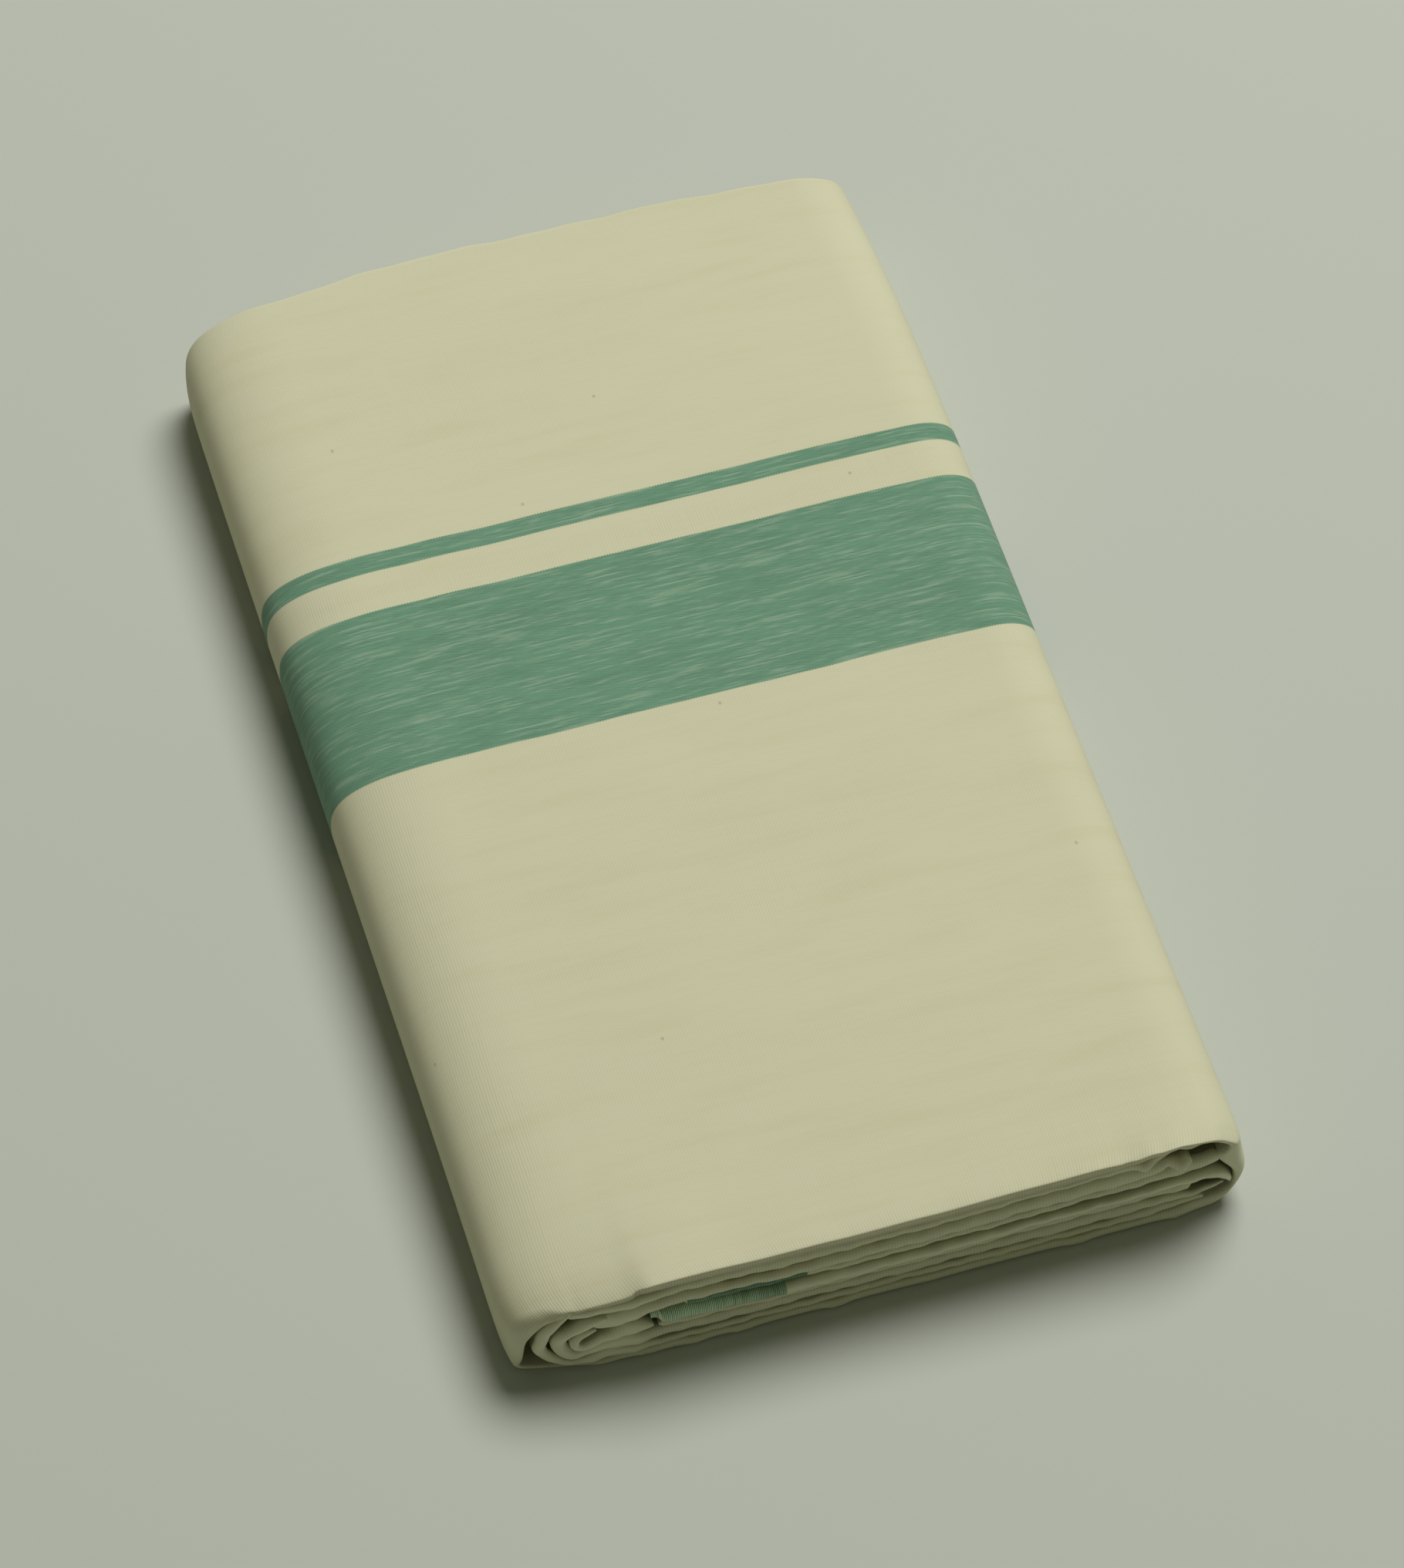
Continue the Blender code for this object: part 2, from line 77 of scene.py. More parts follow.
def smoothRows(rows, steps):
    # Catmull-Rom: each stretch is a cubic through its two rows, heading for the next ones
    rows = np.asarray(rows, float)
    padded = np.vstack([2 * rows[0] - rows[1], rows, 2 * rows[-1] - rows[-2]])
    a, b, c, d = (padded[i:len(padded) - 3 + i, None, :] for i in range(4))
    t = (np.arange(steps) / steps)[None, :, None]
    curve = 0.5 * (2 * b + (c - a) * t + (2 * a - 5 * b + 4 * c - d) * t ** 2
                   + (3 * b - a - 3 * c + d) * t ** 3)
    return np.vstack([curve.reshape(-1, rows.shape[1]), rows[-1]])


def evenRows(rows, pitch):
    # the same smooth line with a row at each pitch of its length in the first two columns
    line = smoothRows(rows, 24)
    run = np.concatenate([[0.0], np.cumsum(np.hypot(*np.diff(line[:, :2], axis=0).T))])
    places = np.linspace(0.0, run[-1], max(int(run[-1] / pitch), 8))
    return np.column_stack([np.interp(places, run, column) for column in line.T]), places


def atPlaces(places, table, column):
    # one column of a table of (place, values...) read at any places, smoothly
    table = np.asarray(table, float)
    line = smoothRows(np.column_stack([table[:, 0], table[:, column]]), 12)
    return np.interp(places, line[:, 0], line[:, 1])


print("stage: outer turn")

wrap = {
    # corners of the section: (width, height, power) of a superellipse quarter
    "leftUpper": (28.0, 17.0, 2.7), "leftLower": (11.0, 14.0, 2.6),
    "rightUpper": (17.0, 13.0, 2.4), "rightLower": (8.0, 18.0, 2.6),
    "cornerPoints": 30, "topPoints": 104, "underPoints": 60,
    "wall": 1.2, "hemDepth": 12.0, "hemWall": 3.4, "sideHem": 0.45, "hemFrom": 0.62, "hemTo": 0.88,
    # the doubled edge round the near end, (place, thickness, depth of its nose): along X on top
    # and on the underside, along Z at the two sides
    "topEdge": (
        (-92, 6, 3.2), (-82, 5.6, 3.2), (-78.5, 4.4, 2.4), (-76, 1.8, 1.5), (-73, 1.5, 1.2),
        (-65, 2.4, 1.1), (-59, 3, 1.1), (-55, 3.6, 1), (-46, 3.7, 1), (-26, 3.6, 1), (0, 3.8, 1),
        (30, 3.7, 1), (50, 3.8, 1), (62, 2.8, 1), (70, 2.2, 1), (77, 1.4, 0.9), (84, 1.3, 0.9),
        (92, 2, 1.2),
    ),
    "underEdge": (
        (-92, 0.95, 0.9), (-80, 0.95, 0.9), (-75, 0.95, 0.9), (-70, 1.3, 1), (-64, 1.8, 1),
        (-55, 2.5, 1.1), (-46, 2.4, 1.1), (-34, 2.1, 1.1), (0, 2.4, 1.1), (50, 2.5, 1.1),
        (65, 2.3, 1.1), (75, 3.3, 1.2), (84, 3.4, 1.4), (92, 1.2, 1.2),
    ),
    "leftEdge": (
        (0, 1.2, 1.4), (3, 2, 1.8), (7, 2.4, 2.4), (12, 3, 2.8), (15, 3.7, 3.2), (18, 5.4, 3.4),
        (21, 6.4, 3.4), (24, 6, 3.2), (31, 5, 2.4),
    ),
    "rightEdge": (
        (0, 1.2, 1.2), (4, 1.4, 1.5), (8, 2.4, 2.3), (12, 4, 3.2), (16, 6, 3.9), (20, 7.2, 4.2),
        (23, 6.2, 3.6), (25, 3.4, 2), (27, 1.6, 1.2), (31, 1.3, 0.9),
    ),
    "readAt": 3.0,              # the places of the near edge are read this far in
    "creasePower": 4.5, "sidePower": 2.2, "farPower": 2.4, "farNose": 1.5, "lean": 0.25,
    "creaseHeights": (22.0, 27.0), "creaseStops": (74.0, 79.0),
    "topEdgeHeights": (22.5, 27.0), "underEdgeHeights": (1.5, 6.0),
    # rows along the sheet: turned in, round the nose, then ever further apart along the outside
    "turnedRows": (12.0, 9.5, 7.5, 6.0, 5.0), "nosePoints": 25, "outsideRows": 51,
    "firstRow": 0.35, "rowGrowth": 0.08, "depthFade": 20.0,
    # rise of the top at the near crease: (x, rise), fading back over a distance
    "broadRise": (
        (-96, -1), (-84, -2.2), (-78, -2.9), (-70, -3.6), (-62, -2.6), (-55, -0.6), (-45, 0.4),
        (-30, -0.1), (0, -0.4), (25, 0), (45, 0.5), (60, 0.6), (72, 1.2), (80, 0.8), (86, 1.1),
        (90, 1.6), (96, 1.6),
    ),
    "fineRise": (
        (-96, 0), (-80, 0), (-76.5, -0.5), (-74.6, -0.3), (-72.8, -0.9), (-70, -0.6), (-65, -0.8),
        (-61.5, -0.8), (-59.8, -0.6), (-58.2, -0.3), (-56.8, 0.15), (-55.4, 0.5), (-53.6, 0.5),
        (-50, 0.3), (-44, 0), (-37, 0.15), (-28, -0.1), (-14, 0.1), (-6, -0.15), (8, 0.1),
        (17, -0.15), (33, 0.15), (44, -0.1), (55, 0.2), (61.3, -0.4), (64.6, -0.2), (67.4, 0.35),
        (70.3, 0), (74.3, 0.5), (77.5, 0.2), (82, 0), (96, 0),
    ),
    "broadReach": 17.0, "fineReach": 4.5,
    # soft undulation of the whole top: (x, y, rise, half width, half length)
    "undulations": (
        (-30, -70, 0.35, 34, 22), (22, -52, -0.3, 40, 16), (40, -105, 0.3, 36, 20),
        (-48, 8, 0.3, 30, 30), (18, 30, -0.25, 44, 20), (50, 92, 0.3, 30, 26),
        (-20, 108, -0.35, 40, 22), (-60, 76, 0.25, 20, 40),
    ),
    # the near corners are pinched: (from x, to x, outward, height, half height, reach, set back)
    "pinches": (
        (-66, -81, -4, 0, 6, 16, 2.1), (80, 91, 1.8, 11.5, 6, 25, 0),
        (80, 91, -1.5, 28.5, 3.2, 14, 0),
    ),
    # the near edge of the top stands back in small notches: (x, back, half width)
    "notches": ((-57.9, 0.8, 0.9), (-74.0, 0.5, 1.2), (61.5, 0.3, 1.2)),
    "notchHeights": (24.0, 28.0), "notchReach": 2.0,
    # the underside's near lip bulges out to these points: (x, forward, down, half width)
    "lipPoints": (
        (-67, 0.45, 0.3, 3.2), (-56, 0.35, 0.2, 2.6), (-44.6, 0.5, 0.3, 2.6),
        (-33, 0.5, 0.3, 2.6), (-9.6, 0.8, 0.35, 2.4), (14, 0.2, 0.1, 5), (50.4, 0.6, 0.35, 3),
        (75.4, 0.6, 0.4, 2.6),
    ),
    "lipHeights": (2.0, 7.0), "lipStops": (70.0, 85.0), "lipReach": 6.0,
    "lipRise": 0.35, "lipSink": 0.1, "lipPower": 1.4,
}


def drawIn(distance, rounding):
    # how far a rounded end has drawn in at a distance from the edge: it dies away exponentially
    amount, reach = rounding
    return amount * np.exp(-((np.maximum(distance, 0.0) / reach) ** pack["roundPower"]))


def sideLimits(y):
    # left and right limits of the pack at y
    fromNear, fromFar = y - nearY, farY - y
    left = leftX + drawIn(fromNear, pack["nearLeftRound"]) + drawIn(fromFar, pack["farLeftRound"])
    left = left + pack["leftTaper"] * ramp(fromFar, 0.0, pack["length"])
    right = rightX - drawIn(fromNear, pack["nearRightRound"])
    return left, right - drawIn(fromFar, pack["farRightRound"])


def nearStep(x):
    # how far the near edge stands back at x: a power of the way to each side
    back = 0.0 * x
    for start, stop, amount in (pack["leftStep"], pack["rightStep"]):
        share = np.clip((x - start) / (stop - start), 0.0, pack["stepMost"])
        back = back + amount * share ** pack["stepPower"]
    return back


def farStep(x):
    # the far edge stands back by a power of the way to each side, more at the left, and wavers
    start, stop, amount = pack["farLeftStep"]
    back = pack["farCrown"] * np.abs(x / rightX) ** pack["farCrownPower"]
    back = back + amount * ramp(x, start, stop)
    return back + sum(size * np.sin(2 * np.pi * x / length + turn)
                      for size, length, turn in pack["farWaver"])


def topSwell(x, y):
    # rises along the near crease that die away exponentially behind it, and soft mounds anywhere
    back = np.maximum(y - nearY, 0.0)
    height = atPlaces(x, wrap["broadRise"], 1) * np.exp(-back / wrap["broadReach"])
    height = height + atPlaces(x, wrap["fineRise"], 1) * np.exp(-back / wrap["fineReach"])
    for centreX, centreY, rise, halfWidth, halfLength in wrap["undulations"]:
        height = height + rise * bell(x, centreX, halfWidth) * bell(y, centreY, halfLength)
    return height


def evenTurns(width, height, power, count):
    # angles of a superellipse quarter whose points lie at equal lengths along it
    turn = np.linspace(0.0, np.pi / 2, 800)
    x, z = width * np.sin(turn) ** (2 / power), height * np.cos(turn) ** (2 / power)
    run = np.concatenate([[0.0], np.cumsum(np.hypot(np.diff(x), np.diff(z)))])
    return np.interp(np.linspace(0.0, run[-1], count), run, turn)


def ringParts():
    # the ring in order: up the right side, back along the top, down the left, along the underside
    corners = {name: (*wrap[name], evenTurns(*wrap[name], wrap["cornerPoints"]))
               for name in ("rightLower", "rightUpper", "leftUpper", "leftLower")}
    return (
        ("rightLower", 1.0, False, corners["rightLower"]),
        ("rightUpper", 1.0, True, corners["rightUpper"]),
        ("top", 0.0, True, wrap["topPoints"]),
        ("leftUpper", -1.0, True, corners["leftUpper"]),
        ("leftLower", -1.0, False, corners["leftLower"]),
        ("under", 0.0, False, wrap["underPoints"]),
    )


def crossSection(y, inset):
    # the pack's section at each y, inset from its outer face: quarters of superellipses with
    # flats between them. y and inset have a column for each point of the ring
    left, right = sideLimits(y)
    xParts, zParts, place = [], [], 0
    for name, side, isUpper, data in ringParts():
        if side:
            width, height, power, turns = data
            turns = turns[1:][::-1] if name in ("rightUpper", "leftLower") else turns
            own = slice(place, place + len(turns))
            sideways = (width - inset[:, own]) * np.sin(turns) ** (2 / power)
            upward = (height - inset[:, own]) * np.cos(turns) ** (2 / power)
            centre = (right[:, own] if side > 0 else left[:, own]) - side * width
            xParts.append(centre + side * sideways)
            zParts.append(pack["height"] - height + upward if isUpper else height - upward)
        else:
            share = np.linspace(0.0, 1.0, data + 2)[1:-1]
            own = slice(place, place + data)
            edges = (right[:, own] - wrap["rightUpper"][0], left[:, own] + wrap["leftUpper"][0])
            if not isUpper:
                edges = (left[:, own] + wrap["leftLower"][0], right[:, own] - wrap["rightLower"][0])
            xParts.append(edges[0] + (edges[1] - edges[0]) * share)
            zParts.append(pack["height"] - inset[:, own] if isUpper else inset[:, own])
        place = own.stop
    x, z = np.hstack(xParts), np.hstack(zParts)
    full = pack["height"]
    return x, z + ramp(z, pack["swellFrom"] * full, pack["swellTo"] * full) * topSwell(x, y)


def stepped(x, y):
    # the place along Y with the steps of both edges faded in
    nearFade = 1.0 - ramp(y - nearY, 0.0, pack["stepFade"])
    farFade = 1.0 - ramp(farY - y, 0.0, pack["stepFade"])
    return y + nearStep(x) * nearFade - farStep(x) * farFade


def farShare(x):
    # how much of the doubled edge there is at x of the far end: it thins towards the sides
    away = np.maximum(x / rightX, x / leftX)
    return 1.0 - (1.0 - wrap["sideHem"]) * ramp(away, wrap["hemFrom"], wrap["hemTo"])


def nearEdge(x, z, column):
    # thickness (1) or nose depth (2) of the near edge: read along the top and the underside by x
    # and up the sides by z, blended by height
    upper = ramp(z, *wrap["topEdgeHeights"])
    lower = 1.0 - ramp(z, *wrap["underEdgeHeights"])
    side = np.where(x < 0.0, atPlaces(z, wrap["leftEdge"], column),
                    atPlaces(z, wrap["rightEdge"], column))
    value = side + upper * (atPlaces(x, wrap["topEdge"], column) - side)
    return value + lower * (atPlaces(x, wrap["underEdge"], column) - value)


def wrapRows():
    # rows of the sheet from one turned-in edge over its nose, along the outer face and round
    # the other nose: (kind, distance from the edge or angle round the nose), where kind is 0
    # for turned in, 1 for the nose and 2 for the outside
    turned = [(0, d) for d in wrap["turnedRows"]]
    nose = [(1, a) for a in np.radians(np.linspace(90.0, -90.0, wrap["nosePoints"]))]
    growth, steps = wrap["rowGrowth"], np.arange(1, wrap["outsideRows"] + 1)
    outside = wrap["firstRow"] * ((1.0 + growth) ** steps - 1.0) / growth
    outside = outside * (pack["length"] / 2 / outside[-1]) ** ramp(outside, 0.0, outside[-1])
    half = np.array(turned + nose + [(2, d) for d in outside])
    return np.vstack([half, half[:-1][::-1]]), np.arange(2 * len(half) - 1) < len(half)


def outerWrapGrid():
    # the section at each row's place along Y, inset by the doubled edge where the row is turned in;
    # also how far each point is from its edge, and its share of the way inward
    rows, near = wrapRows()
    kind, value, near = rows[:, :1], rows[:, 1:], near[:, None]
    points = 4 * wrap["cornerPoints"] - 2 + wrap["topPoints"] + wrap["underPoints"]
    flat = np.zeros((1, points))
    plainX, plainZ = crossSection(nearY + wrap["readAt"] + flat, flat)
    depth = np.where(near, nearEdge(plainX, plainZ, 2), wrap["farNose"])
    doubled = np.where(near, nearEdge(plainX, plainZ, 1),
                       wrap["wall"] + (wrap["hemWall"] - wrap["wall"]) * farShare(plainX))
    isCrease = ramp(plainZ, *wrap["creaseHeights"]) * (1.0 - ramp(-plainX, *wrap["creaseStops"]))
    # round the nose: depth and thickness follow a quarter of a superellipse each way, a sharp one
    # above the crease
    angle = np.where(kind == 1, value, 0.0)
    isCrease = np.where(angle < 0.0, isCrease, 0.0)
    sharper = (wrap["creasePower"] - wrap["sidePower"]) * isCrease
    power = np.where(near, wrap["sidePower"] + sharper, wrap["farPower"])
    roundBack = depth * (1.0 - np.abs(np.cos(angle)) ** (2 / power))
    inward = 0.5 + 0.5 * np.sign(np.sin(angle)) * np.abs(np.sin(angle)) ** (2 / power)
    lean = np.where(near, wrap["lean"], 0.0)
    onNose = roundBack + lean * inward
    outside = value + depth * np.exp(-value / wrap["depthFade"])
    distance = np.where(kind == 1, onNose, np.where(kind == 2, outside, value))
    inward = np.where(kind == 1, inward, np.where(kind == 2, 0.0, 1.0))
    y = np.where(near, nearY + distance, farY - distance)
    flatX = crossSection(y, np.zeros(y.shape))[0]
    y = stepped(flatX, y)
    x, z = crossSection(y, inward * doubled)
    # the underside's lip: points bulge forward and sink, between them it rises a little
    behind = np.maximum(distance, 0.0)
    lowLip = near * (1.0 - ramp(z, *wrap["lipHeights"])) * np.exp(-behind / wrap["lipReach"])
    forward, rise = 0.0 * x, wrap["lipRise"] + 0.0 * x
    for centre, out, down, halfWidth in wrap["lipPoints"]:
        peak = np.exp(-np.abs((x - centre) / halfWidth) ** wrap["lipPower"])
        forward, rise = forward + out * peak, rise - (down + wrap["lipSink"]) * peak
    y = y - forward * lowLip
    z = z + np.maximum(rise, 0.0) * lowLip * (1.0 - ramp(np.abs(x), *wrap["lipStops"]))
    # notches of the crease, and the pinched corners
    topLip = near * ramp(z, *wrap["notchHeights"]) * np.exp(-behind / wrap["notchReach"])
    for centre, back, halfWidth in wrap["notches"]:
        y = y + back * bell(x, centre, halfWidth) * topLip
    placeX = x
    for start, stop, outward, height, halfHeight, reach, setBack in wrap["pinches"]:
        pinch = near * ramp(placeX, start, stop) * bell(z, height, halfHeight)
        pinch = pinch * np.exp(-behind / reach)
        x, y = x + outward * pinch, y + setBack * pinch
    return np.stack([x, y, z], axis=-1), distance, inward


def clothShell(name, outside, u, v, crease, paintedLight, closed=False, thickness=pack["ply"]):
    # a sheet of cloth as a closed thin wall: the outer grid, the same grid moved in along its
    # normals, and strips that join their borders. u, v are its flat places, for the weave; crease
    # opens the weave; the value after it is painted light and shade: above 0 a painted highlight
    # on a rim, below 0 painted shade down in a groove
    rows, columns = outside.shape[:2]
    if closed:
        alongU = (np.roll(outside, -1, axis=1) - np.roll(outside, 1, axis=1)) / 2
    else:
        alongU = np.gradient(outside, axis=1)
    normal = np.cross(alongU, np.gradient(outside, axis=0))
    normal /= np.maximum(np.linalg.norm(normal, axis=-1, keepdims=True), 1e-9)
    inside = outside - thickness * normal
    index = np.arange(rows * columns).reshape(rows, columns)
    wide = np.hstack([index, index[:, :1]]) if closed else index
    uGrid = np.broadcast_to(np.asarray(u, float), (rows, wide.shape[1]))
    vGrid = np.broadcast_to(np.asarray(v, float), (rows, columns))
    if closed:
        vGrid = np.hstack([vGrid, vGrid[:, :1]])
    # quads of point numbers, of u and of v, in one order: outside, inside, strips
    first, second = slice(None, -1), slice(1, None)
    corners = [(first, first), (first, second), (second, second), (second, first)]
    quads = []
    for data, toInside in ((wide, rows * columns), (uGrid, 0), (vGrid, 0)):
        outer = np.stack([data[c] for c in corners], axis=-1).reshape(-1, 4)
        borders = [data[0], data[-1][::-1]]
        if not closed:
            borders += [data[::-1, 0], data[:, -1]]
        strips = [np.stack([line[1:], line[:-1], line[:-1] + toInside, line[1:] + toInside],
                           axis=-1) for line in borders]
        quads.append(np.vstack([outer, outer[:, ::-1] + toInside, *strips]))
    faces, faceU, faceV = quads
    points = np.vstack([outside.reshape(-1, 3), inside.reshape(-1, 3)]) * mm
    mesh = bpy.data.meshes.new(name)
    mesh.from_pydata(points.tolist(), [], faces.tolist())
    flatPlaces = (np.stack([faceU, faceV], axis=-1) * mm).astype(np.float32)
    mesh.uv_layers.new(name="weave").data.foreach_set("uv", flatPlaces.ravel())
    # the painted light and shade is stored on the points beside the crease value
    for key, values in (("crease", crease), ("paintedLight", paintedLight)):
        both = np.tile(np.broadcast_to(values, (rows, columns)).ravel(), 2).astype(np.float32)
        mesh.attributes.new(key, "FLOAT", "POINT").data.foreach_set("value", both)
    mesh.shade_smooth()
    mesh.set_sharp_from_angle(angle=math.radians(sharpAngle))
    piece = bpy.data.objects.new(name, mesh)
    bpy.context.scene.collection.objects.link(piece)
    a, b, c = points[faces[:, 0]], points[faces[:, 1]], points[faces[:, 2]]
    d = points[faces[:, 3]]
    volume = ((a * np.cross(b, c)).sum() + (a * np.cross(c, d)).sum()) / 6
    print(f"  {name}: {2 * len(faces)} triangles, wall volume {volume * 1e6:.1f} cubic centimetres")
    if volume < 0:
        mesh.flip_normals()
    return piece


wrapWeaveAndPaintedLight = {
    "askew": 0.006, "askewFrom": 20.0,      # the weft turns by this much, about this x
    # where the weave opens: at the near edge (share, half width) and behind it (share, reach),
    # down the left shoulder, beside the bands (share, v, half width), on the underside's lip
    "edge": (0.45, 3.0), "behind": (0.3, 10.0),
    "shoulder": 0.5, "shoulderX": (-79.0, 9.0), "shoulderZ": (14.0, 22.0),
    "shoulderFade": 0.8, "shoulderY": (-60.0, 90.0),
    "besideWide": (0.25, -4.0, 4.0), "besideThin": (0.3, 55.5, 4.5),
    "lip": 0.35, "lipZ": (2.5, 5.0), "patchReach": 5.0,
    # painted highlight: on the lip (share, z from, z to, half width) and on parts of the near edge
    # (share, from x, to x, z, half height)
    "paintedLipHighlight": (0.8, 2.0, 4.5, 1.6),
    "paintedHighlightPatches": ((1.0, 76.0, 85.0, 14.0, 9.0), (0.5, -78.0, -84.0, 12.0, 10.0)),
    # painted shade under the crease: (share, from x, to x, z, half height), where turned in by over
    # this
    "underCrease": (0.4, 66.0, 80.0, 27.4, 2.4), "turnedBy": 0.3,
}


def makeOuterWrap():
    # from the far edge to the near one, so that the faces look outward
    grid, distance, turned = (line[::-1] for line in outerWrapGrid())
    middle = grid[len(grid) // 2]
    run = np.linalg.norm(np.roll(middle, -1, axis=0) - middle, axis=1)
    u = np.concatenate([[0.0], np.cumsum(run)])
    x, y, z = np.moveaxis(grid, -1, 0)
    v = y - wrapWeaveAndPaintedLight["askew"] * (x - wrapWeaveAndPaintedLight["askewFrom"])
    near = y < 0.0
    atEdge = near * bell(distance, 0.0, wrapWeaveAndPaintedLight["patchReach"])
    (edge, halfWidth), (behind, reach) = wrapWeaveAndPaintedLight["edge"], wrapWeaveAndPaintedLight["behind"]
    crease = near * (edge * bell(distance, 0.0, halfWidth)
                     + behind * np.exp(-np.maximum(distance, 0.0) / reach))
    shoulder = bell(x, *wrapWeaveAndPaintedLight["shoulderX"]) * ramp(z, *wrapWeaveAndPaintedLight["shoulderZ"])
    shoulder = shoulder * (1.0 - wrapWeaveAndPaintedLight["shoulderFade"] * ramp(y, *wrapWeaveAndPaintedLight["shoulderY"]))
    crease = crease + wrapWeaveAndPaintedLight["shoulder"] * shoulder
    for share, place, halfWidth in (wrapWeaveAndPaintedLight["besideWide"], wrapWeaveAndPaintedLight["besideThin"]):
        crease = crease + share * bell(v, place, halfWidth)
    crease = crease + wrapWeaveAndPaintedLight["lip"] * atEdge * (1.0 - ramp(z, *wrapWeaveAndPaintedLight["lipZ"]))
    # painted highlight on the underside's lip and on patches of the near edge
    share, start, stop, halfWidth = wrapWeaveAndPaintedLight["paintedLipHighlight"]
    paintedLight = share * near * (1.0 - ramp(z, start, stop)) * bell(distance, 0.0, halfWidth)
    for share, start, stop, height, halfHeight in wrapWeaveAndPaintedLight["paintedHighlightPatches"]:
        paintedLight = paintedLight + share * atEdge * ramp(x, start, stop) * bell(z, height, halfHeight)
    # painted shade under the crease, where the sheet is turned in
    share, start, stop, height, halfHeight = wrapWeaveAndPaintedLight["underCrease"]
    under = atEdge * bell(z, height, halfHeight) * (turned > wrapWeaveAndPaintedLight["turnedBy"])
    paintedLight = paintedLight - share * under * (1.0 - ramp(x, start, stop))
    return clothShell("outerWrap", grid, u, v, crease, paintedLight, closed=True)


print("stage: folds of the near end")

grooves = {
    # the lines between neighbouring folds, and rows of a place along X and the height of each line
    "names": ("underCrease", "underUpper", "underThird", "betweenBorders", "underBorders",
              "underMiddle"),
    "rows": (
        (-75, 24.6, 21.4, 15.6, 16.8, 12.4, 9.4), (-65, 25, 21.2, 14.6, 16.8, 12.4, 9.4),
        (-60, 25.4, 21.7, 16.7, 16.8, 12.4, 9.4), (-55, 25.6, 22.1, 17.9, 16.8, 12.3, 9.4),
        (-46, 26.5, 22.4, 18.4, 16.6, 11.9, 9.3), (-36, 27, 21.9, 18.5, 16, 11.6, 9.2),
        (-26, 27.1, 21.5, 18.1, 15.3, 11.3, 9), (-1, 26.3, 22, 17.5, 14.6, 11.2, 9),
        (27, 27, 23.2, 18.2, 15, 12.3, 9.3), (50, 27.5, 24.9, 19.1, 15.8, 13.7, 9.7),
        (60, 28.5, 25.1, 19.7, 15.8, 13.9, 9.8), (70, 29, 25.5, 20.9, 16.3, 14, 9.6),
        (79, 29, 26, 21.2, 16.4, 13.4, 9.2), (88, 28.4, 25.6, 21.2, 16.4, 13, 9),
    ),
}
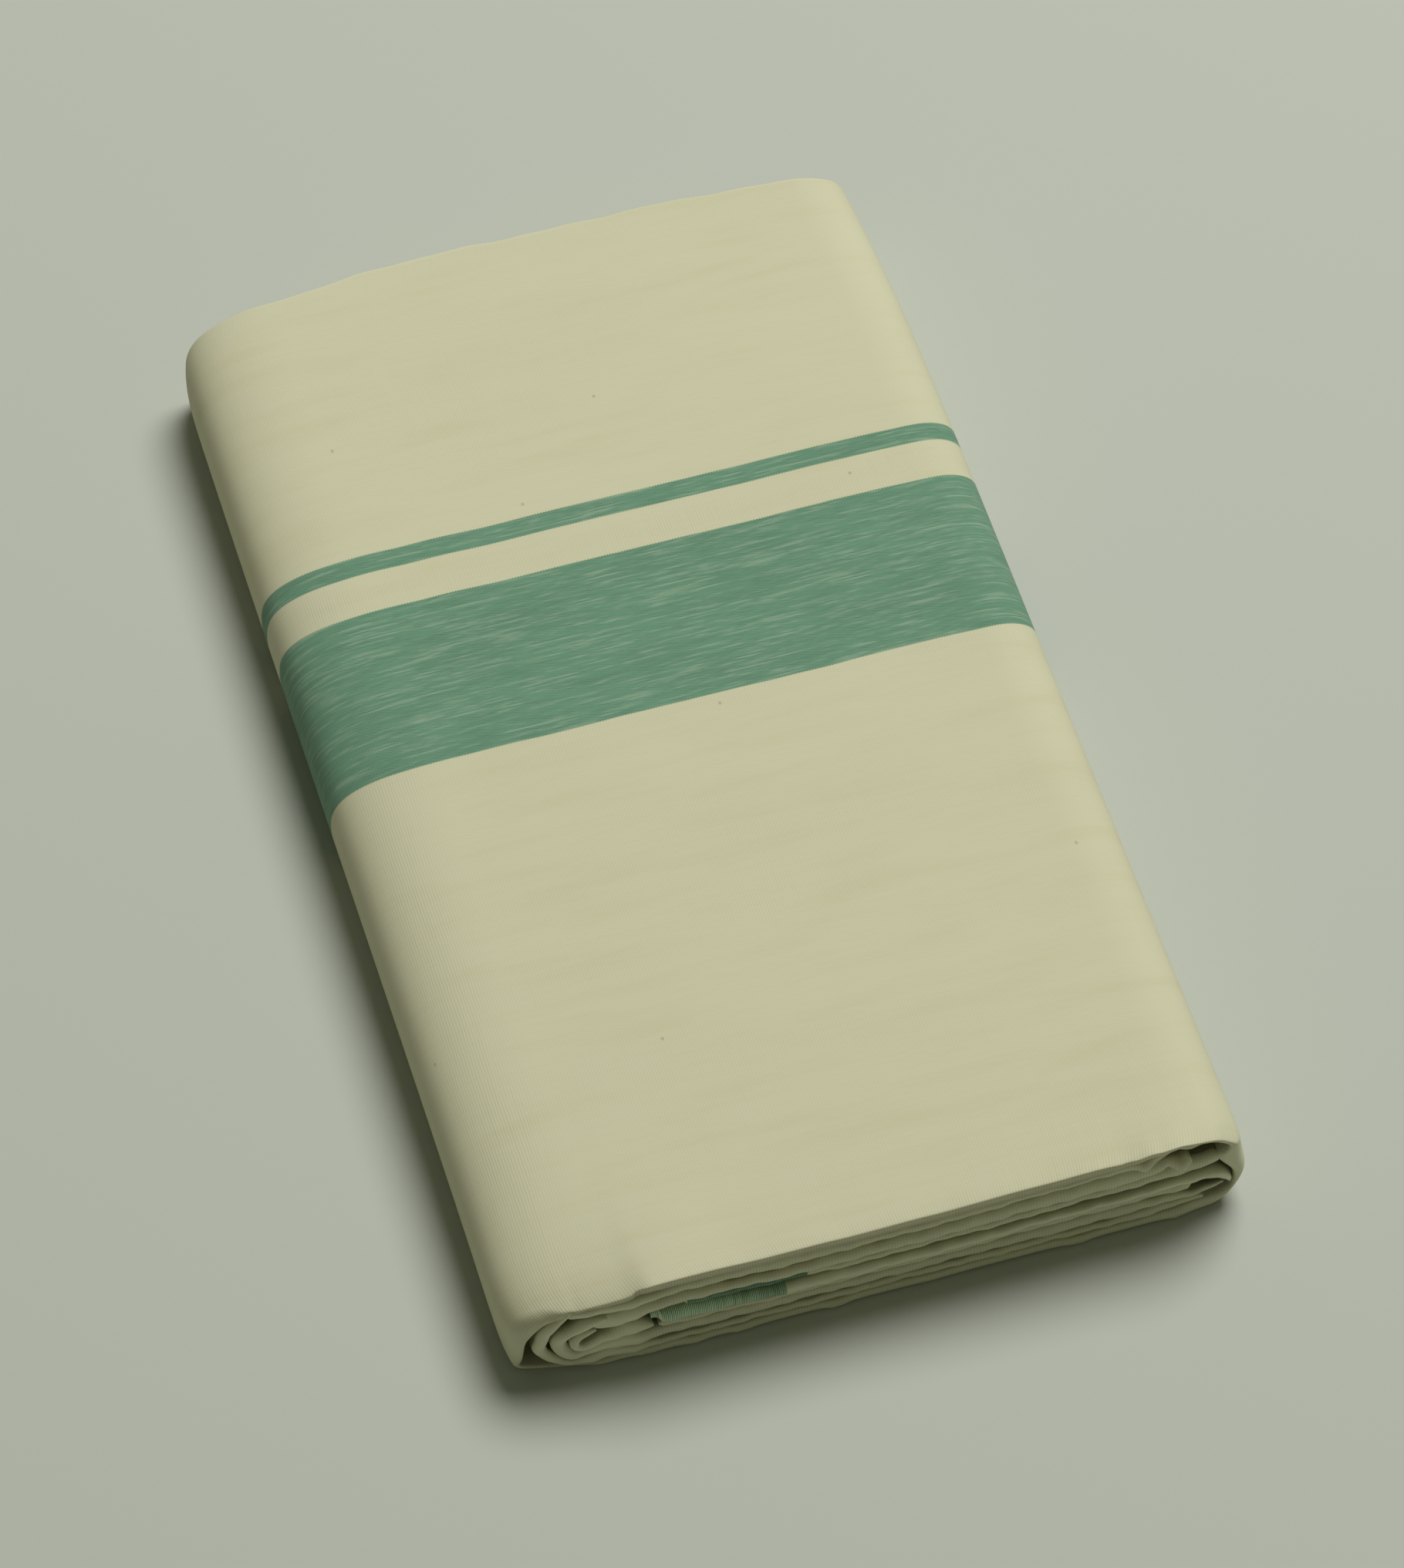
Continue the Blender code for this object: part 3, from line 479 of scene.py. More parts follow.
folds = {
    "depth": 12.0, "nose": 2.2, "nosePower": 2.1, "gap": 0.3, "pitch": 0.8,
    "thinnest": 0.3, "endBack": 0.8,  # ends thin to this share and stand back by this
    "behind": (12.0, 9.0, 6.5, 5.0, 3.8), "rowGap": 0.2,    # rows behind the nose
    "nosePoints": 21, "noseCloth": 4.0,     # cloth that goes round the nose
    "average": 7,                     # rows over which the path's direction is averaged
    "curlsForward": (-52.0, -60.0, 0.8),   # from x, to x, the curls at the left stand forward by
    "waver": (0.11, 0.10, 0.22),      # unevenness of height, of thickness (a share), of the front
    "waverFade": 4.0, "waverFront": 0.3, "wallShare": 0.8, "weaveShift": 40.0,
    "thickSeed": 3.7, "frontSeed": 1.9,
    # sines of the unevenness: (share, length, turn for each seed)
    "waves": ((0.5, 37.0, 1.0), (0.45, 17.3, 2.3), (0.4, 9.1, 4.1), (0.3, 5.3, 5.9)),
    # places round the nose, in millimetres of cloth: where the weave opens, the rim that gets a
    # painted highlight and the grooves that get painted shade
    "noseHalf": 2.4, "open": (0.25, 0.75, 2.0), "paintedRim": (0.7, 1.3), "groove": (1.7, 3.2),
    # painted highlight on the upper rim of each nose; the curls at the left and the lower border
    # ply painted lighter all over
    "rimPaintedHighlight": 0.6, "curlsPaintedLighter": 0.7, "paintedLighter": {"borderPlyLower": 0.7},
    # groove above, groove below, left end, right end, set back, rounding of each end
    "straight": {
        "nearFoldUpper": ("underCrease", "underUpper", -75.0, 86.0, 0.9, 3.0, 4.0),
        "nearFoldThird": ("underUpper", "underThird", -68.8, 78.0, 0.35, 4.5, 2.0),
        "borderPlyUpper": ("underThird", "betweenBorders", -46.6, 86.0, 1.1, 0.5, 3.0),
        "borderPlyLower": ("betweenBorders", "underBorders", -52.8, 79.5, -0.2, 0.4, 0.0),
        "nearFoldMiddle": ("underBorders", "underMiddle", -53.0, 78.6, 0.75, 3.0, 0.5),
    },
    # puckers at their right ends: (x, down, thicker, forward, half width)
    "puckers": {
        "nearFoldUpper": (
            (66, 1, 0.5, 1, 1.9), (74, -0.3, -0.5, -1.4, 3), (82, 0.3, -0.2, -1.2, 5),
        ),
        "nearFoldThird": ((72.4, 0.3, -0.5, -1.0, 1.0), (75.4, 0.9, 0.3, 1.0, 1.7)),
    },
    # rows of (x, z, half thickness, set back)
    "leadIn": {
        "borderPlyLower": (
            (-54.7, 14.2, 1.3, 2), (-53.4, 14.3, 1.7, 1.8), (-53, 14.4, 1.9, 1.2),
        ),
    },
    "leadOut": {
        "borderPlyLower": (
            (81.2, 15, 1.2, 0.2), (83.4, 14.5, 1.4, 0.3), (85.6, 13.2, 1.3, 0.5),
            (87.4, 11.2, 1, 0.9), (88.4, 9.2, 0.7, 1.4), (88.7, 7.8, 0.35, 1.9),
        ),
    },
    "curled": {
        "leftCurlSecond": (
            (-65.8, 20.9, 0.4, 1.2), (-68, 20, 1.2, 1.2), (-70.7, 18.6, 1.8, 1.2),
            (-73.4, 17.4, 1.9, 1.3), (-75.7, 15.9, 1.9, 1.5), (-76.9, 13.5, 1.95, 1.8),
            (-76.7, 9.9, 1.95, 2), (-75.3, 7.4, 1.9, 1.9), (-73.2, 6.5, 1.6, 1.6),
            (-70.4, 7.3, 1.3, 1.2), (-66.4, 8.7, 2, 0.9), (-60.5, 8, 2.2, 0.6),
            (-55, 7.1, 1.9, 0.6), (-46, 6.9, 2.1, 0.8), (-26, 6.8, 2.05, 0.8), (-1, 7, 1.85, 0.7),
            (27, 7.2, 1.95, 0.7), (50, 7.4, 2.1, 0.6), (60, 7.5, 2.1, 0.6), (70, 8, 1.4, 0.6),
            (75, 7.6, 1.2, 0.9), (79.5, 6.5, 0.9, 1.6), (84, 6.2, 0.8, 2.2),
            (87.4, 6.9, 0.4, 2.6),
        ),
        "leftCurlOuter": (
            (-73.6, 24.6, 0.5, 3.2), (-75, 23.6, 0.9, 2.6), (-77.3, 21.6, 1.3, 2.1),
            (-79.6, 18.5, 1.5, 2.1), (-81.1, 14.5, 1.65, 2.6), (-81.6, 10.9, 1.6, 3),
            (-80.6, 7.6, 1.5, 3.1), (-78.2, 4.8, 1.3, 2.9), (-75.5, 2.9, 0.9, 2.4),
            (-72, 3.1, 1, 1.6), (-68.5, 3.9, 1.7, 1), (-65, 4.3, 2, 0.9), (-60.5, 4, 1.5, 0.6),
            (-55, 3.9, 1, 0.5), (-46, 3.6, 0.85, 0.5), (-26, 3.5, 0.95, 0.5),
            (-1, 3.85, 1.05, 0.5), (27, 3.9, 1.1, 0.5), (50, 3.9, 1.1, 0.5),
            (60, 3.95, 1.15, 0.5), (70, 4.7, 1.5, 0.5), (76, 4.9, 1.1, 0.8), (82, 4.5, 0.6, 1.4),
        ),
        "leftCurlInner": (
            (-68.2, 16, 0.35, 1.8), (-70.2, 15.3, 0.9, 1.5), (-72.3, 14.3, 1.15, 1.3),
            (-73.6, 12.9, 1.2, 1.1), (-73.2, 11.2, 1.1, 1), (-71.4, 10.3, 1.2, 0.9),
            (-69, 10.9, 1.3, 0.8), (-67, 11.9, 1.5, 0.7), (-64.5, 12.5, 1.7, 0.6),
            (-61.5, 13.1, 2.3, 0.6), (-58, 12.6, 2.1, 0.7), (-55.6, 11.9, 1.1, 0.9),
            (-54.3, 11.6, 0.35, 1.1),
        ),
    },
}


def grooveAt(name, x):
    # height of a groove between two folds at x
    return atPlaces(x, grooves["rows"], 1 + grooves["names"].index(name))


def waver(run, seed):
    # slow unevenness about 0: four sines whose lengths share no common measure
    return sum(share * np.sin(2 * np.pi * run / length + seed * turn)
               for share, length, turn in folds["waves"])


def straightRows(name):
    # half way between its two grooves, thinner and set back in a quarter circle at its ends
    above, below, left, right, back, roundLeft, roundRight = folds["straight"][name]
    x = np.linspace(left, right, int((right - left) / folds["pitch"]))
    upper, lower = grooveAt(above, x), grooveAt(below, x)
    fullness, thinnest = 1.0 + 0.0 * x, folds["thinnest"]
    for fromEnd, reach in ((x - left, roundLeft), (right - x, roundRight)):
        if reach:
            share = np.clip(fromEnd / reach, 0.0, 1.0)
            quarter = np.sqrt(1.0 - (1.0 - share) ** 2)
            fullness = fullness * (thinnest + (1.0 - thinnest) * quarter)
    half = (upper - lower) / 2 * fullness - folds["gap"] / 2
    middle = (upper + lower) / 2
    front = back + folds["endBack"] * (1.0 - fullness) + nearStep(x)
    for centre, down, thicker, forward, halfWidth in folds["puckers"].get(name, ()):
        peak = bell(x, centre, halfWidth)
        middle, half, front = middle - down * peak, half + thicker * peak, front - forward * peak
    rows = np.column_stack([x, middle, half, front])
    for side, order in (("leadIn", 1), ("leadOut", -1)):
        if name in folds[side]:
            extra = np.array(folds[side][name])
            rows = np.vstack([extra, rows][::order])
    return evenRows(rows, folds["pitch"])


def foldShell(name, rows, run, seed):
    # a folded strip: a U with a rounded nose to the front, carried along a path in X and Z, its
    # plies square to the path's direction as averaged over a few rows
    x, z, half, back = rows.T
    window, margin = np.ones(folds["average"]) / folds["average"], folds["average"] // 2
    aheadX, aheadZ = (np.convolve(np.pad(np.gradient(line), margin, "edge"), window, "valid")
                      for line in (x, z))
    length = np.hypot(aheadX, aheadZ)
    acrossX, acrossZ = -aheadZ / length, aheadX / length
    height, thickness, front = folds["waver"]
    ends = np.minimum(1.0, np.minimum(run, run[-1] - run) / folds["waverFade"])
    start, stop, forward = folds["curlsForward"]
    back = back - forward * ramp(x, start, stop)
    shift = height * waver(run, seed) * ends
    x, z = x + shift * acrossX, z + shift * acrossZ
    half = half * (1.0 + thickness * waver(run, seed + folds["thickSeed"]) * ends)
    back = back + front * (waver(run, seed + folds["frontSeed"]) * ends + folds["waverFront"])
    behind, angles = np.array(folds["behind"]), np.linspace(-90.0, 90.0, folds["nosePoints"])
    cosine, sine = np.cos(np.radians(angles)), np.sin(np.radians(angles))
    nose, rounder = np.minimum(half, folds["nose"]), 2 / folds["nosePower"]
    noseBack = nose[None, :] * (1.0 - np.abs(cosine) ** rounder)[:, None] + back[None, :]
    deep = behind[:, None] + 0.0 * x[None, :]
    rowsBack = folds["rowGap"] * np.arange(1, len(behind) + 1)[::-1, None]
    below = np.maximum(deep, back + nose + rowsBack)
    setBack = np.vstack([below, noseBack, below[::-1]])
    bulge = np.sign(sine) * np.abs(sine) ** rounder
    across = np.concatenate([-np.ones(len(behind)), bulge, np.ones(len(behind))])[:, None] * half
    grid = np.stack([x + across * acrossX, nearY + setBack, z + across * acrossZ], axis=-1)
    around = np.concatenate([-behind, angles / 90.0 * folds["noseHalf"], behind[::-1]])
    least, more, halfWidth = folds["open"]
    crease = least + more * bell(around, 0.0, halfWidth)[:, None]
    # painted highlight on the upper rim of the nose, painted shade down in the grooves at its sides
    paintedRim = bell(around, *folds["paintedRim"])[:, None]
    groove = ramp(np.abs(around), *folds["groove"])[:, None]
    # painted light: the curls at the left and the lower border ply made lighter than their own
    # colour
    paintedLighter = folds["paintedLighter"].get(name, 0.0) + folds["curlsPaintedLighter"] * ramp(x, start, stop)
    paintedLight = folds["rimPaintedHighlight"] * paintedRim - groove + paintedLighter[None, :] * (1.0 - groove)
    wall = min(pack["ply"], folds["wallShare"] * half.min())
    v = around[:, None] + folds["weaveShift"] * (seed + 1)
    return clothShell(name, grid, run, v, crease, paintedLight, thickness=wall)


def makeFolds():
    # every fold and curl with its own seed of unevenness; also the length of each path
    names = list(folds["straight"]) + list(folds["curled"])
    made, lengths = {}, {}
    for seed, name in enumerate(names):
        if name in folds["straight"]:
            rows, run = straightRows(name)
        else:
            rows, run = evenRows(folds["curled"][name], folds["pitch"])
        made[name] = foldShell(name, rows, run, seed)
        lengths[name] = run[-1]
    return made, lengths


print("stage: hidden layers with the lips of the far end")

layers = {
    "lips": 7, "lipPoints": 12, "stations": 150, "flatRows": 12, "frontBack": 13.0,
    "lipsInside": 0.8, "lipPower": 0.6, "lipsPaintedDarker": 0.4, "groove": 1.7,
    "roundBack": 10.0, "roundFrom": 0.74, "roundTo": 0.92,
    "hemShare": 0.3, "clearance": 1.8, "sideClearance": 0.4,
}


def heightLimits(x):
    # top and bottom of the hidden layers at x: inside the wrap's section by the clearance
    inset = layers["clearance"]
    left, right = sideLimits(np.array(farY - layers["roundBack"] / 2))
    bottom, top = inset + 0.0 * x, pack["height"] - inset + 0.0 * x
    for name, sideX, side, isUpper in (
            ("leftUpper", left, -1, True), ("rightUpper", right, 1, True),
            ("leftLower", left, -1, False), ("rightLower", right, 1, False)):
        width, height, power = wrap[name]
        share = np.clip((x - (sideX - side * width)) * side / (width - inset), 0.0, 1.0)
        rise = (height - inset) * (1.0 - share ** power) ** (1.0 / power)
        if isUpper:
            top = np.minimum(top, pack["height"] - height + rise)
        else:
            bottom = np.maximum(bottom, height - rise)
    return bottom, top


def makeInnerLayers():
    # outlines in Y and Z, carried along X: top, a lip for each fold (a power of half a sine
    # wave), underside
    left, right = sideLimits(np.array(farY - layers["roundBack"] / 2))
    inset = layers["clearance"] + layers["sideClearance"]
    turn = np.linspace(-np.pi / 2, np.pi / 2, layers["stations"])
    x = (left + right) / 2 + ((right - left) / 2 - inset) * np.sin(turn)
    bottom, top = heightLimits(x)
    hem = (wrap["hemWall"] - wrap["wall"]) * farShare(x)
    hem = np.minimum(hem, layers["hemShare"] * (top - bottom))
    lipTurn = np.linspace(0.0, 1.0, layers["lipPoints"], endpoint=False)
    share = np.append((np.arange(layers["lips"])[:, None] + lipTurn).ravel() / layers["lips"], 1.0)
    bulge = np.append(np.tile(np.sin(np.pi * lipTurn) ** layers["lipPower"], layers["lips"]), 0.0)
    toSide = np.abs(x) / rightX
    roundBack = layers["roundBack"] * ramp(toSide, layers["roundFrom"], layers["roundTo"])
    face = farY - farStep(x) - roundBack - layers["lipsInside"]
    lipsY = face[None, :] - layers["groove"] * (1.0 - bulge)[:, None]
    low, high = bottom + hem, top - hem
    lipsZ = low[None, :] + (high - low)[None, :] * share[:, None]
    hemBack = face - wrap["hemDepth"]
    flat = np.linspace(0.0, 1.0, layers["flatRows"])[:, None]
    frontY = nearY + layers["frontBack"] + nearStep(x) + 0.0 * x
    floorY = frontY[None, :] + (hemBack - frontY)[None, :] * flat
    yRows = np.vstack([floorY, lipsY, floorY[::-1]])[::-1]
    zRows = np.vstack([bottom + 0.0 * floorY, lipsZ, top + 0.0 * floorY])[::-1]
    grid = np.stack([x + 0.0 * yRows, yRows, zRows], axis=-1)
    step = np.linalg.norm(np.diff(grid[:, len(x) // 2], axis=0), axis=1)
    around = np.concatenate([[0.0], np.cumsum(step)])
    ends = np.zeros(layers["flatRows"])
    crease = np.concatenate([ends, np.ones(len(lipsY)), ends])[:, None]
    # painted shade: the lips of the far end made darker
    paintedLight = -layers["lipsPaintedDarker"] * crease
    return clothShell("innerLayers", grid, x, around[:, None], crease, paintedLight)


print("stage: cotton")

weave = {
    "ribPitch": 0.73, "pickPitch": 0.46, "edgeRibPitch": 0.43, "wander": 0.9, "pickWander": 0.6,
    "cream": (0.645, 0.626, 0.428), "creamDeep": (0.600, 0.565, 0.345),
    "creamGap": (0.26, 0.24, 0.13), "fleck": (0.34, 0.27, 0.12),
    "green": (0.078, 0.245, 0.150), "greenDeep": (0.030, 0.140, 0.085),
    "greenPale": (0.430, 0.530, 0.370), "selvedge": (0.80, 0.83, 0.60),
    "edgeDeep": (0.070, 0.150, 0.085), "edgePale": (0.680, 0.870, 0.610),
    # the colour of the painted highlight on rims, and the painted shade that grooves multiply by
    "paintedLight": (0.80, 0.81, 0.57), "groove": (0.34, 0.33, 0.24),   # grooves multiply by it
    "roughness": 0.92, "sheen": 0.10, "sheenRoughness": 0.5, "specular": 0.2,
    # noises: how many per metre along U and V (or per thread), detail, seed
    "noiseRoughness": 0.55, "wanderNoise": (60, 25, 2.0, 0.0), "bentNoise": (28, 2, 2.0, 4.4),
    "unevenNoise": (900, 60, 1.0, 2.2), "uneven": (1.2, 0.4),   # times and plus
    # the same, and the part of the noise (from, to) that is spread over 0 to 1
    "streaks": (22, 150, 3.0, 3.1, 0.45, 0.75), "patches": (17, 40, 2.0, 8.3, 0.35, 0.70),
    "slubs": (70, 1500, 2.0, 5.7, 0.45, 0.75), "clouds": (30, 110, 3.0, 6.6, 0.35, 0.70),
    "paleThreads": (80, 5.17, 3.0, 1.3, 0.46, 0.74),
    "deepThreads": (130, 6.31, 3.0, 9.9, 0.40, 0.70),
    # how much of each goes into the colour; among them the share of painted highlight and the share
    # of painted shade
    "streakShare": 0.38, "slubShare": 0.16, "fleckShare": 0.45, "paintedLightShare": 0.6,
    "paintedShadeShare": 0.9, "deepShare": 0.5, "cloudShare": 0.3, "paleShare": 0.42,
    "overShare": 0.42, "gapShare": 0.5,
    # openness: least, more in patches, more where the cloth bends; how far picks close a gap
    "openLeast": 0.03, "openPatch": 0.09, "openBent": 0.42, "pickCloses": 0.6,
    "flecksPer": (14.0, 11.0), "fleckRadius": (0.003, 0.008),
    "wrapBands": ((1.2, 49.8), (61.6, 67.2)), "ragged": 0.18, "bent": 1.6, "soft": 0.2,
    # green border of the inner stretch, along U: (its light selvedge line, where the green stops,
    # share of pale thread at the line, share at the stop)
    "borders": {"borderPlyUpper": (0.0, 30.0, 0.4, 0.22), "borderPlyLower": (1.9, 32.6, 1.7, 0.75)},
    "inwardFrom": 4, "selvedgeLine": (0.05, 0.45, 0.6),     # rises over, full to, ends at
    # height of the threads: distance, ribs at least, ribs where open, crossings and slubs
    "bump": 0.028, "ribHeight": 0.08, "ribOpen": 1.1, "crossHeight": 0.3,
}


class NodeMaker:
    # short calls for shader nodes: a socket is linked, any other value is set
    def __init__(self, tree):
        self.tree = tree

    def add(self, kind, inputs, output=0, **settings):
        node = self.tree.nodes.new(kind)
        for key, value in settings.items():
            setattr(node, key, value)
        for key, value in inputs.items():
            if isinstance(value, bpy.types.NodeSocket):
                self.tree.links.new(value, node.inputs[key])
            else:
                node.inputs[key].default_value = value
        return node.outputs[output]

    def math(self, operation, a, b=0.0, c=0.0, clamp=False):
        return self.add("ShaderNodeMath", {0: a, 1: b, 2: c}, operation=operation, use_clamp=clamp)

    def times(self, a, b, clamp=False):
        return self.math("MULTIPLY", a, b, clamp=clamp)

    def mix(self, share, a, b, blend="MIX"):
        a, b = ((*v, 1.0) if isinstance(v, tuple) else v for v in (a, b))
        return self.add("ShaderNodeMix", {0: share, 6: a, 7: b}, output=2, data_type="RGBA",
                        blend_type=blend)

    def ramp(self, value, low, high):
        return self.add("ShaderNodeMapRange", {0: value, 1: low, 2: high, 3: 0.0, 4: 1.0},
                        interpolation_type="SMOOTHSTEP")

    def noise(self, u, v, perU, perV, detail, seed):
        place = self.add("ShaderNodeCombineXYZ",
                         {0: self.times(u, perU), 1: self.times(v, perV), 2: seed})
        return self.add("ShaderNodeTexNoise", {"Vector": place, "Scale": 1.0, "Detail": detail,
                                               "Roughness": weave["noiseRoughness"]},
                        noise_dimensions="3D")

    def spread(self, u, v, look):
        # a noise whose middle is spread over 0 to 1
        perU, perV, detail, seed, low, high = look
        return self.ramp(self.noise(u, v, perU, perV, detail, seed), low, high)

    def around(self, value, amount):
        # a value of 0 to 1 made to swing about 0 by the amount from end to end
        return self.times(self.math("SUBTRACT", value, 0.5), amount)

    def wave(self, value, pitch):
        turned = self.math("SINE", self.times(value, 2 * math.pi / (pitch * mm)))
        return self.math("MULTIPLY_ADD", turned, 0.5, 0.5)

    def stretch(self, value, low, high, soft):
        # 1 between two places in millimetres, with soft edges
        above = self.ramp(value, (low - soft) * mm, (low + soft) * mm)
        below = self.ramp(value, (high - soft) * mm, (high + soft) * mm)
        return self.math("SUBTRACT", above, below)


def makeCotton(name, bandsV=(), border=None):
    # plain-weave cotton on the flat places of the cloth: cream warp ribs at a fixed pitch along
    # U, weft picks along V; dyed weft or warp inside the bands, seen through the other threads
    material = bpy.data.materials.new(name)
    material.use_nodes = True
    tree = material.node_tree
    shader = tree.nodes["Principled BSDF"]
    make = NodeMaker(tree)
    place = make.add("ShaderNodeUVMap", {}, uv_map="weave")
    u = make.add("ShaderNodeSeparateXYZ", {0: place}, 0)
    v = make.add("ShaderNodeSeparateXYZ", {0: place}, 1)
    crease = make.add("ShaderNodeAttribute", {}, 2, attribute_name="crease")
    # painted light and shade from the mesh: above 0 painted highlight, below 0 painted shade
    paintedLight = make.add("ShaderNodeAttribute", {}, 2, attribute_name="paintedLight")
    # threads wander a little
    wander = make.around(make.noise(u, v, *weave["wanderNoise"]), weave["wander"] * mm)
    uWander = make.math("ADD", u, wander)
    vWander = make.math("ADD", v, make.times(wander, weave["pickWander"]))
    rib = make.wave(uWander, weave["ribPitch"])
    pick = make.wave(vWander, weave["pickPitch"])
    # crossings: 1 where the pick lies over the rib, 0 where it is under, turn and turn about
    half = make.math("SUBTRACT", make.wave(uWander, 2 * weave["ribPitch"]), 0.5)
    over = make.math("MULTIPLY_ADD", make.times(half, make.math("SUBTRACT", pick, 0.5)), 2.0, 0.5)
    # cream ground: yellower streaks along the weft, gaps between ribs where the cloth is open
    streak, patch, slub = (make.spread(u, v, weave[key]) for key in ("streaks", "patches", "slubs"))
    uneven = make.math("MULTIPLY_ADD", make.noise(u, v, *weave["unevenNoise"]), *weave["uneven"])
    openness = make.math("MULTIPLY_ADD", patch, weave["openPatch"], weave["openLeast"])
    openness = make.math("ADD", openness, make.times(crease, weave["openBent"]), clamp=True)
    openness = make.times(openness, uneven, clamp=True)
    gap = make.times(make.math("POWER", make.math("SUBTRACT", 1.0, rib), 2.0), openness)
    gap = make.times(gap, make.math("MULTIPLY_ADD", pick, -weave["pickCloses"], 1.0))
    cream = make.mix(make.times(streak, weave["streakShare"]), weave["cream"], weave["creamDeep"])
    cream = make.mix(make.times(slub, weave["slubShare"]), cream, weave["creamDeep"])
    cream = make.mix(gap, cream, weave["creamGap"])
    # flecks: small spots round scattered points, a few on each stretch
    perU, perV = weave["flecksPer"]
    spots = make.add("ShaderNodeCombineXYZ", {0: make.times(u, perU), 1: make.times(v, perV)})
    near = make.add("ShaderNodeTexVoronoi", {"Vector": spots, "Scale": 1.0}, 0,
                    voronoi_dimensions="2D")
    fleck = make.math("SUBTRACT", 1.0, make.ramp(near, *weave["fleckRadius"]))
    cream = make.mix(make.times(fleck, weave["fleckShare"]), cream, weave["fleck"])
    # painted highlight: paler where that value is above 0
    cream = make.mix(make.times(paintedLight, weave["paintedLightShare"], clamp=True), cream, weave["paintedLight"])
    color = cream
    if bandsV:
        # dyed threads among cream ones: short darker runs, thin pale single threads
        thread = make.math("FLOOR", make.math("DIVIDE", vWander, weave["pickPitch"] * mm))
        pale = make.spread(u, thread, weave["paleThreads"])
        deep = make.spread(u, thread, weave["deepThreads"])
        cloud = make.spread(u, v, weave["clouds"])
        green = weave["green"]
        for amount, share, thrown in (
                (deep, "deepShare", "greenDeep"), (cloud, "cloudShare", "greenDeep"),
                (pale, "paleShare", "greenPale"), (over, "overShare", "greenPale"),
                (gap, "gapShare", "greenDeep")):
            green = make.mix(make.times(amount, weave[share]), green, weave[thrown])
        ragged = make.around(rib, weave["ragged"] * mm)
        bent = make.around(make.noise(u, v, *weave["bentNoise"]), weave["bent"] * mm)
        edgeV = make.math("ADD", v, make.math("ADD", ragged, bent))
        mask = 0.0
        for low, high in bandsV:
            mask = make.math("ADD", mask, make.stretch(edgeV, low, high, weave["soft"]))
        color = make.mix(mask, cream, green)
    if border:
        # the woven border: close ribs of pale and dark green, a light selvedge line, darker inwards
        selvedge, stop, paleStart, paleStop = border
        stripe = make.times(make.wave(uWander, weave["edgeRibPitch"]), uneven, clamp=True)
        inward = make.ramp(u, weave["inwardFrom"] * mm, stop * mm)
        share = make.math("MULTIPLY_ADD", inward, paleStop - paleStart, paleStart)
        green = make.mix(make.times(stripe, share), weave["edgeDeep"], weave["edgePale"])
        rise, full, end = weave["selvedgeLine"]
        line = make.math("SUBTRACT", make.ramp(u, (selvedge - rise) * mm, (selvedge + rise) * mm),
                         make.ramp(u, (selvedge + full) * mm, (selvedge + end) * mm))
        green = make.mix(line, green, weave["selvedge"])
        soft = weave["soft"]
        mask = make.math("SUBTRACT", 1.0,
                         make.ramp(uWander, (stop - soft) * mm, (stop + soft) * mm))
        color = make.mix(mask, cream, green)
    # painted shade: grooves darkened where that value is below 0
    color = make.mix(make.times(paintedLight, -weave["paintedShadeShare"], clamp=True), color, weave["groove"],
                     blend="MULTIPLY")
    tree.links.new(color, shader.inputs["Base Color"])
    for socket, key in (("Roughness", "roughness"), ("Sheen Weight", "sheen"),
                        ("Sheen Roughness", "sheenRoughness"), ("Specular IOR Level", "specular")):
        shader.inputs[socket].default_value = weave[key]
    ribHeight = make.math("MULTIPLY_ADD", openness, weave["ribOpen"], weave["ribHeight"])
    ribs = make.times(rib, ribHeight)
    crossings = make.times(make.math("ADD", over, slub), weave["crossHeight"])
    bump = make.add("ShaderNodeBump", {"Height": make.math("ADD", ribs, crossings), "Strength": 1.0,
                                       "Distance": weave["bump"] * mm})
    tree.links.new(bump, shader.inputs["Normal"])
    return material


print("stage: floor, light and camera")

studio = {
    "floorSize": 4.0, "floorColor": (0.53, 0.55, 0.48),
    "floorRoughness": 0.95, "floorSpecular": 0.2,
    # (name, place, size, power)
    "lights": (("keyLight", (1.15, 1.1, 2.95), 2.0, 101.0),),
    "worldColor": (0.93, 1.0, 0.74), "worldStrength": 0.12,
}
cameraFit = {
    "target": (0.000194, -0.012533, 0.014), "elevation": 55.097, "azimuth": -16.652,
    "distance": 1.5914, "focalPixels": 8357.7, "imageHeight": 2033, "sensor": 36.0,
    "clip": (0.05, 20.0),
}


def makeCamera():
    # the eye is on a sphere round the target; the lens comes from the focal length in pixels
    data = bpy.data.cameras.new("photoCamera")
    camera = bpy.data.objects.new("photoCamera", data)
    bpy.context.scene.collection.objects.link(camera)
    azimuth, elevation = (math.radians(cameraFit[k]) for k in ("azimuth", "elevation"))
    level = math.cos(elevation)
    back = Vector((math.sin(azimuth) * level, -math.cos(azimuth) * level, math.sin(elevation)))
    camera.location = Vector(cameraFit["target"]) + back * cameraFit["distance"]
    camera.rotation_euler = (-back).to_track_quat("-Z", "Y").to_euler()
    data.sensor_width = cameraFit["sensor"]
    data.lens = cameraFit["sensor"] * cameraFit["focalPixels"] / cameraFit["imageHeight"]
    data.clip_start, data.clip_end = cameraFit["clip"]
    bpy.context.scene.camera = camera


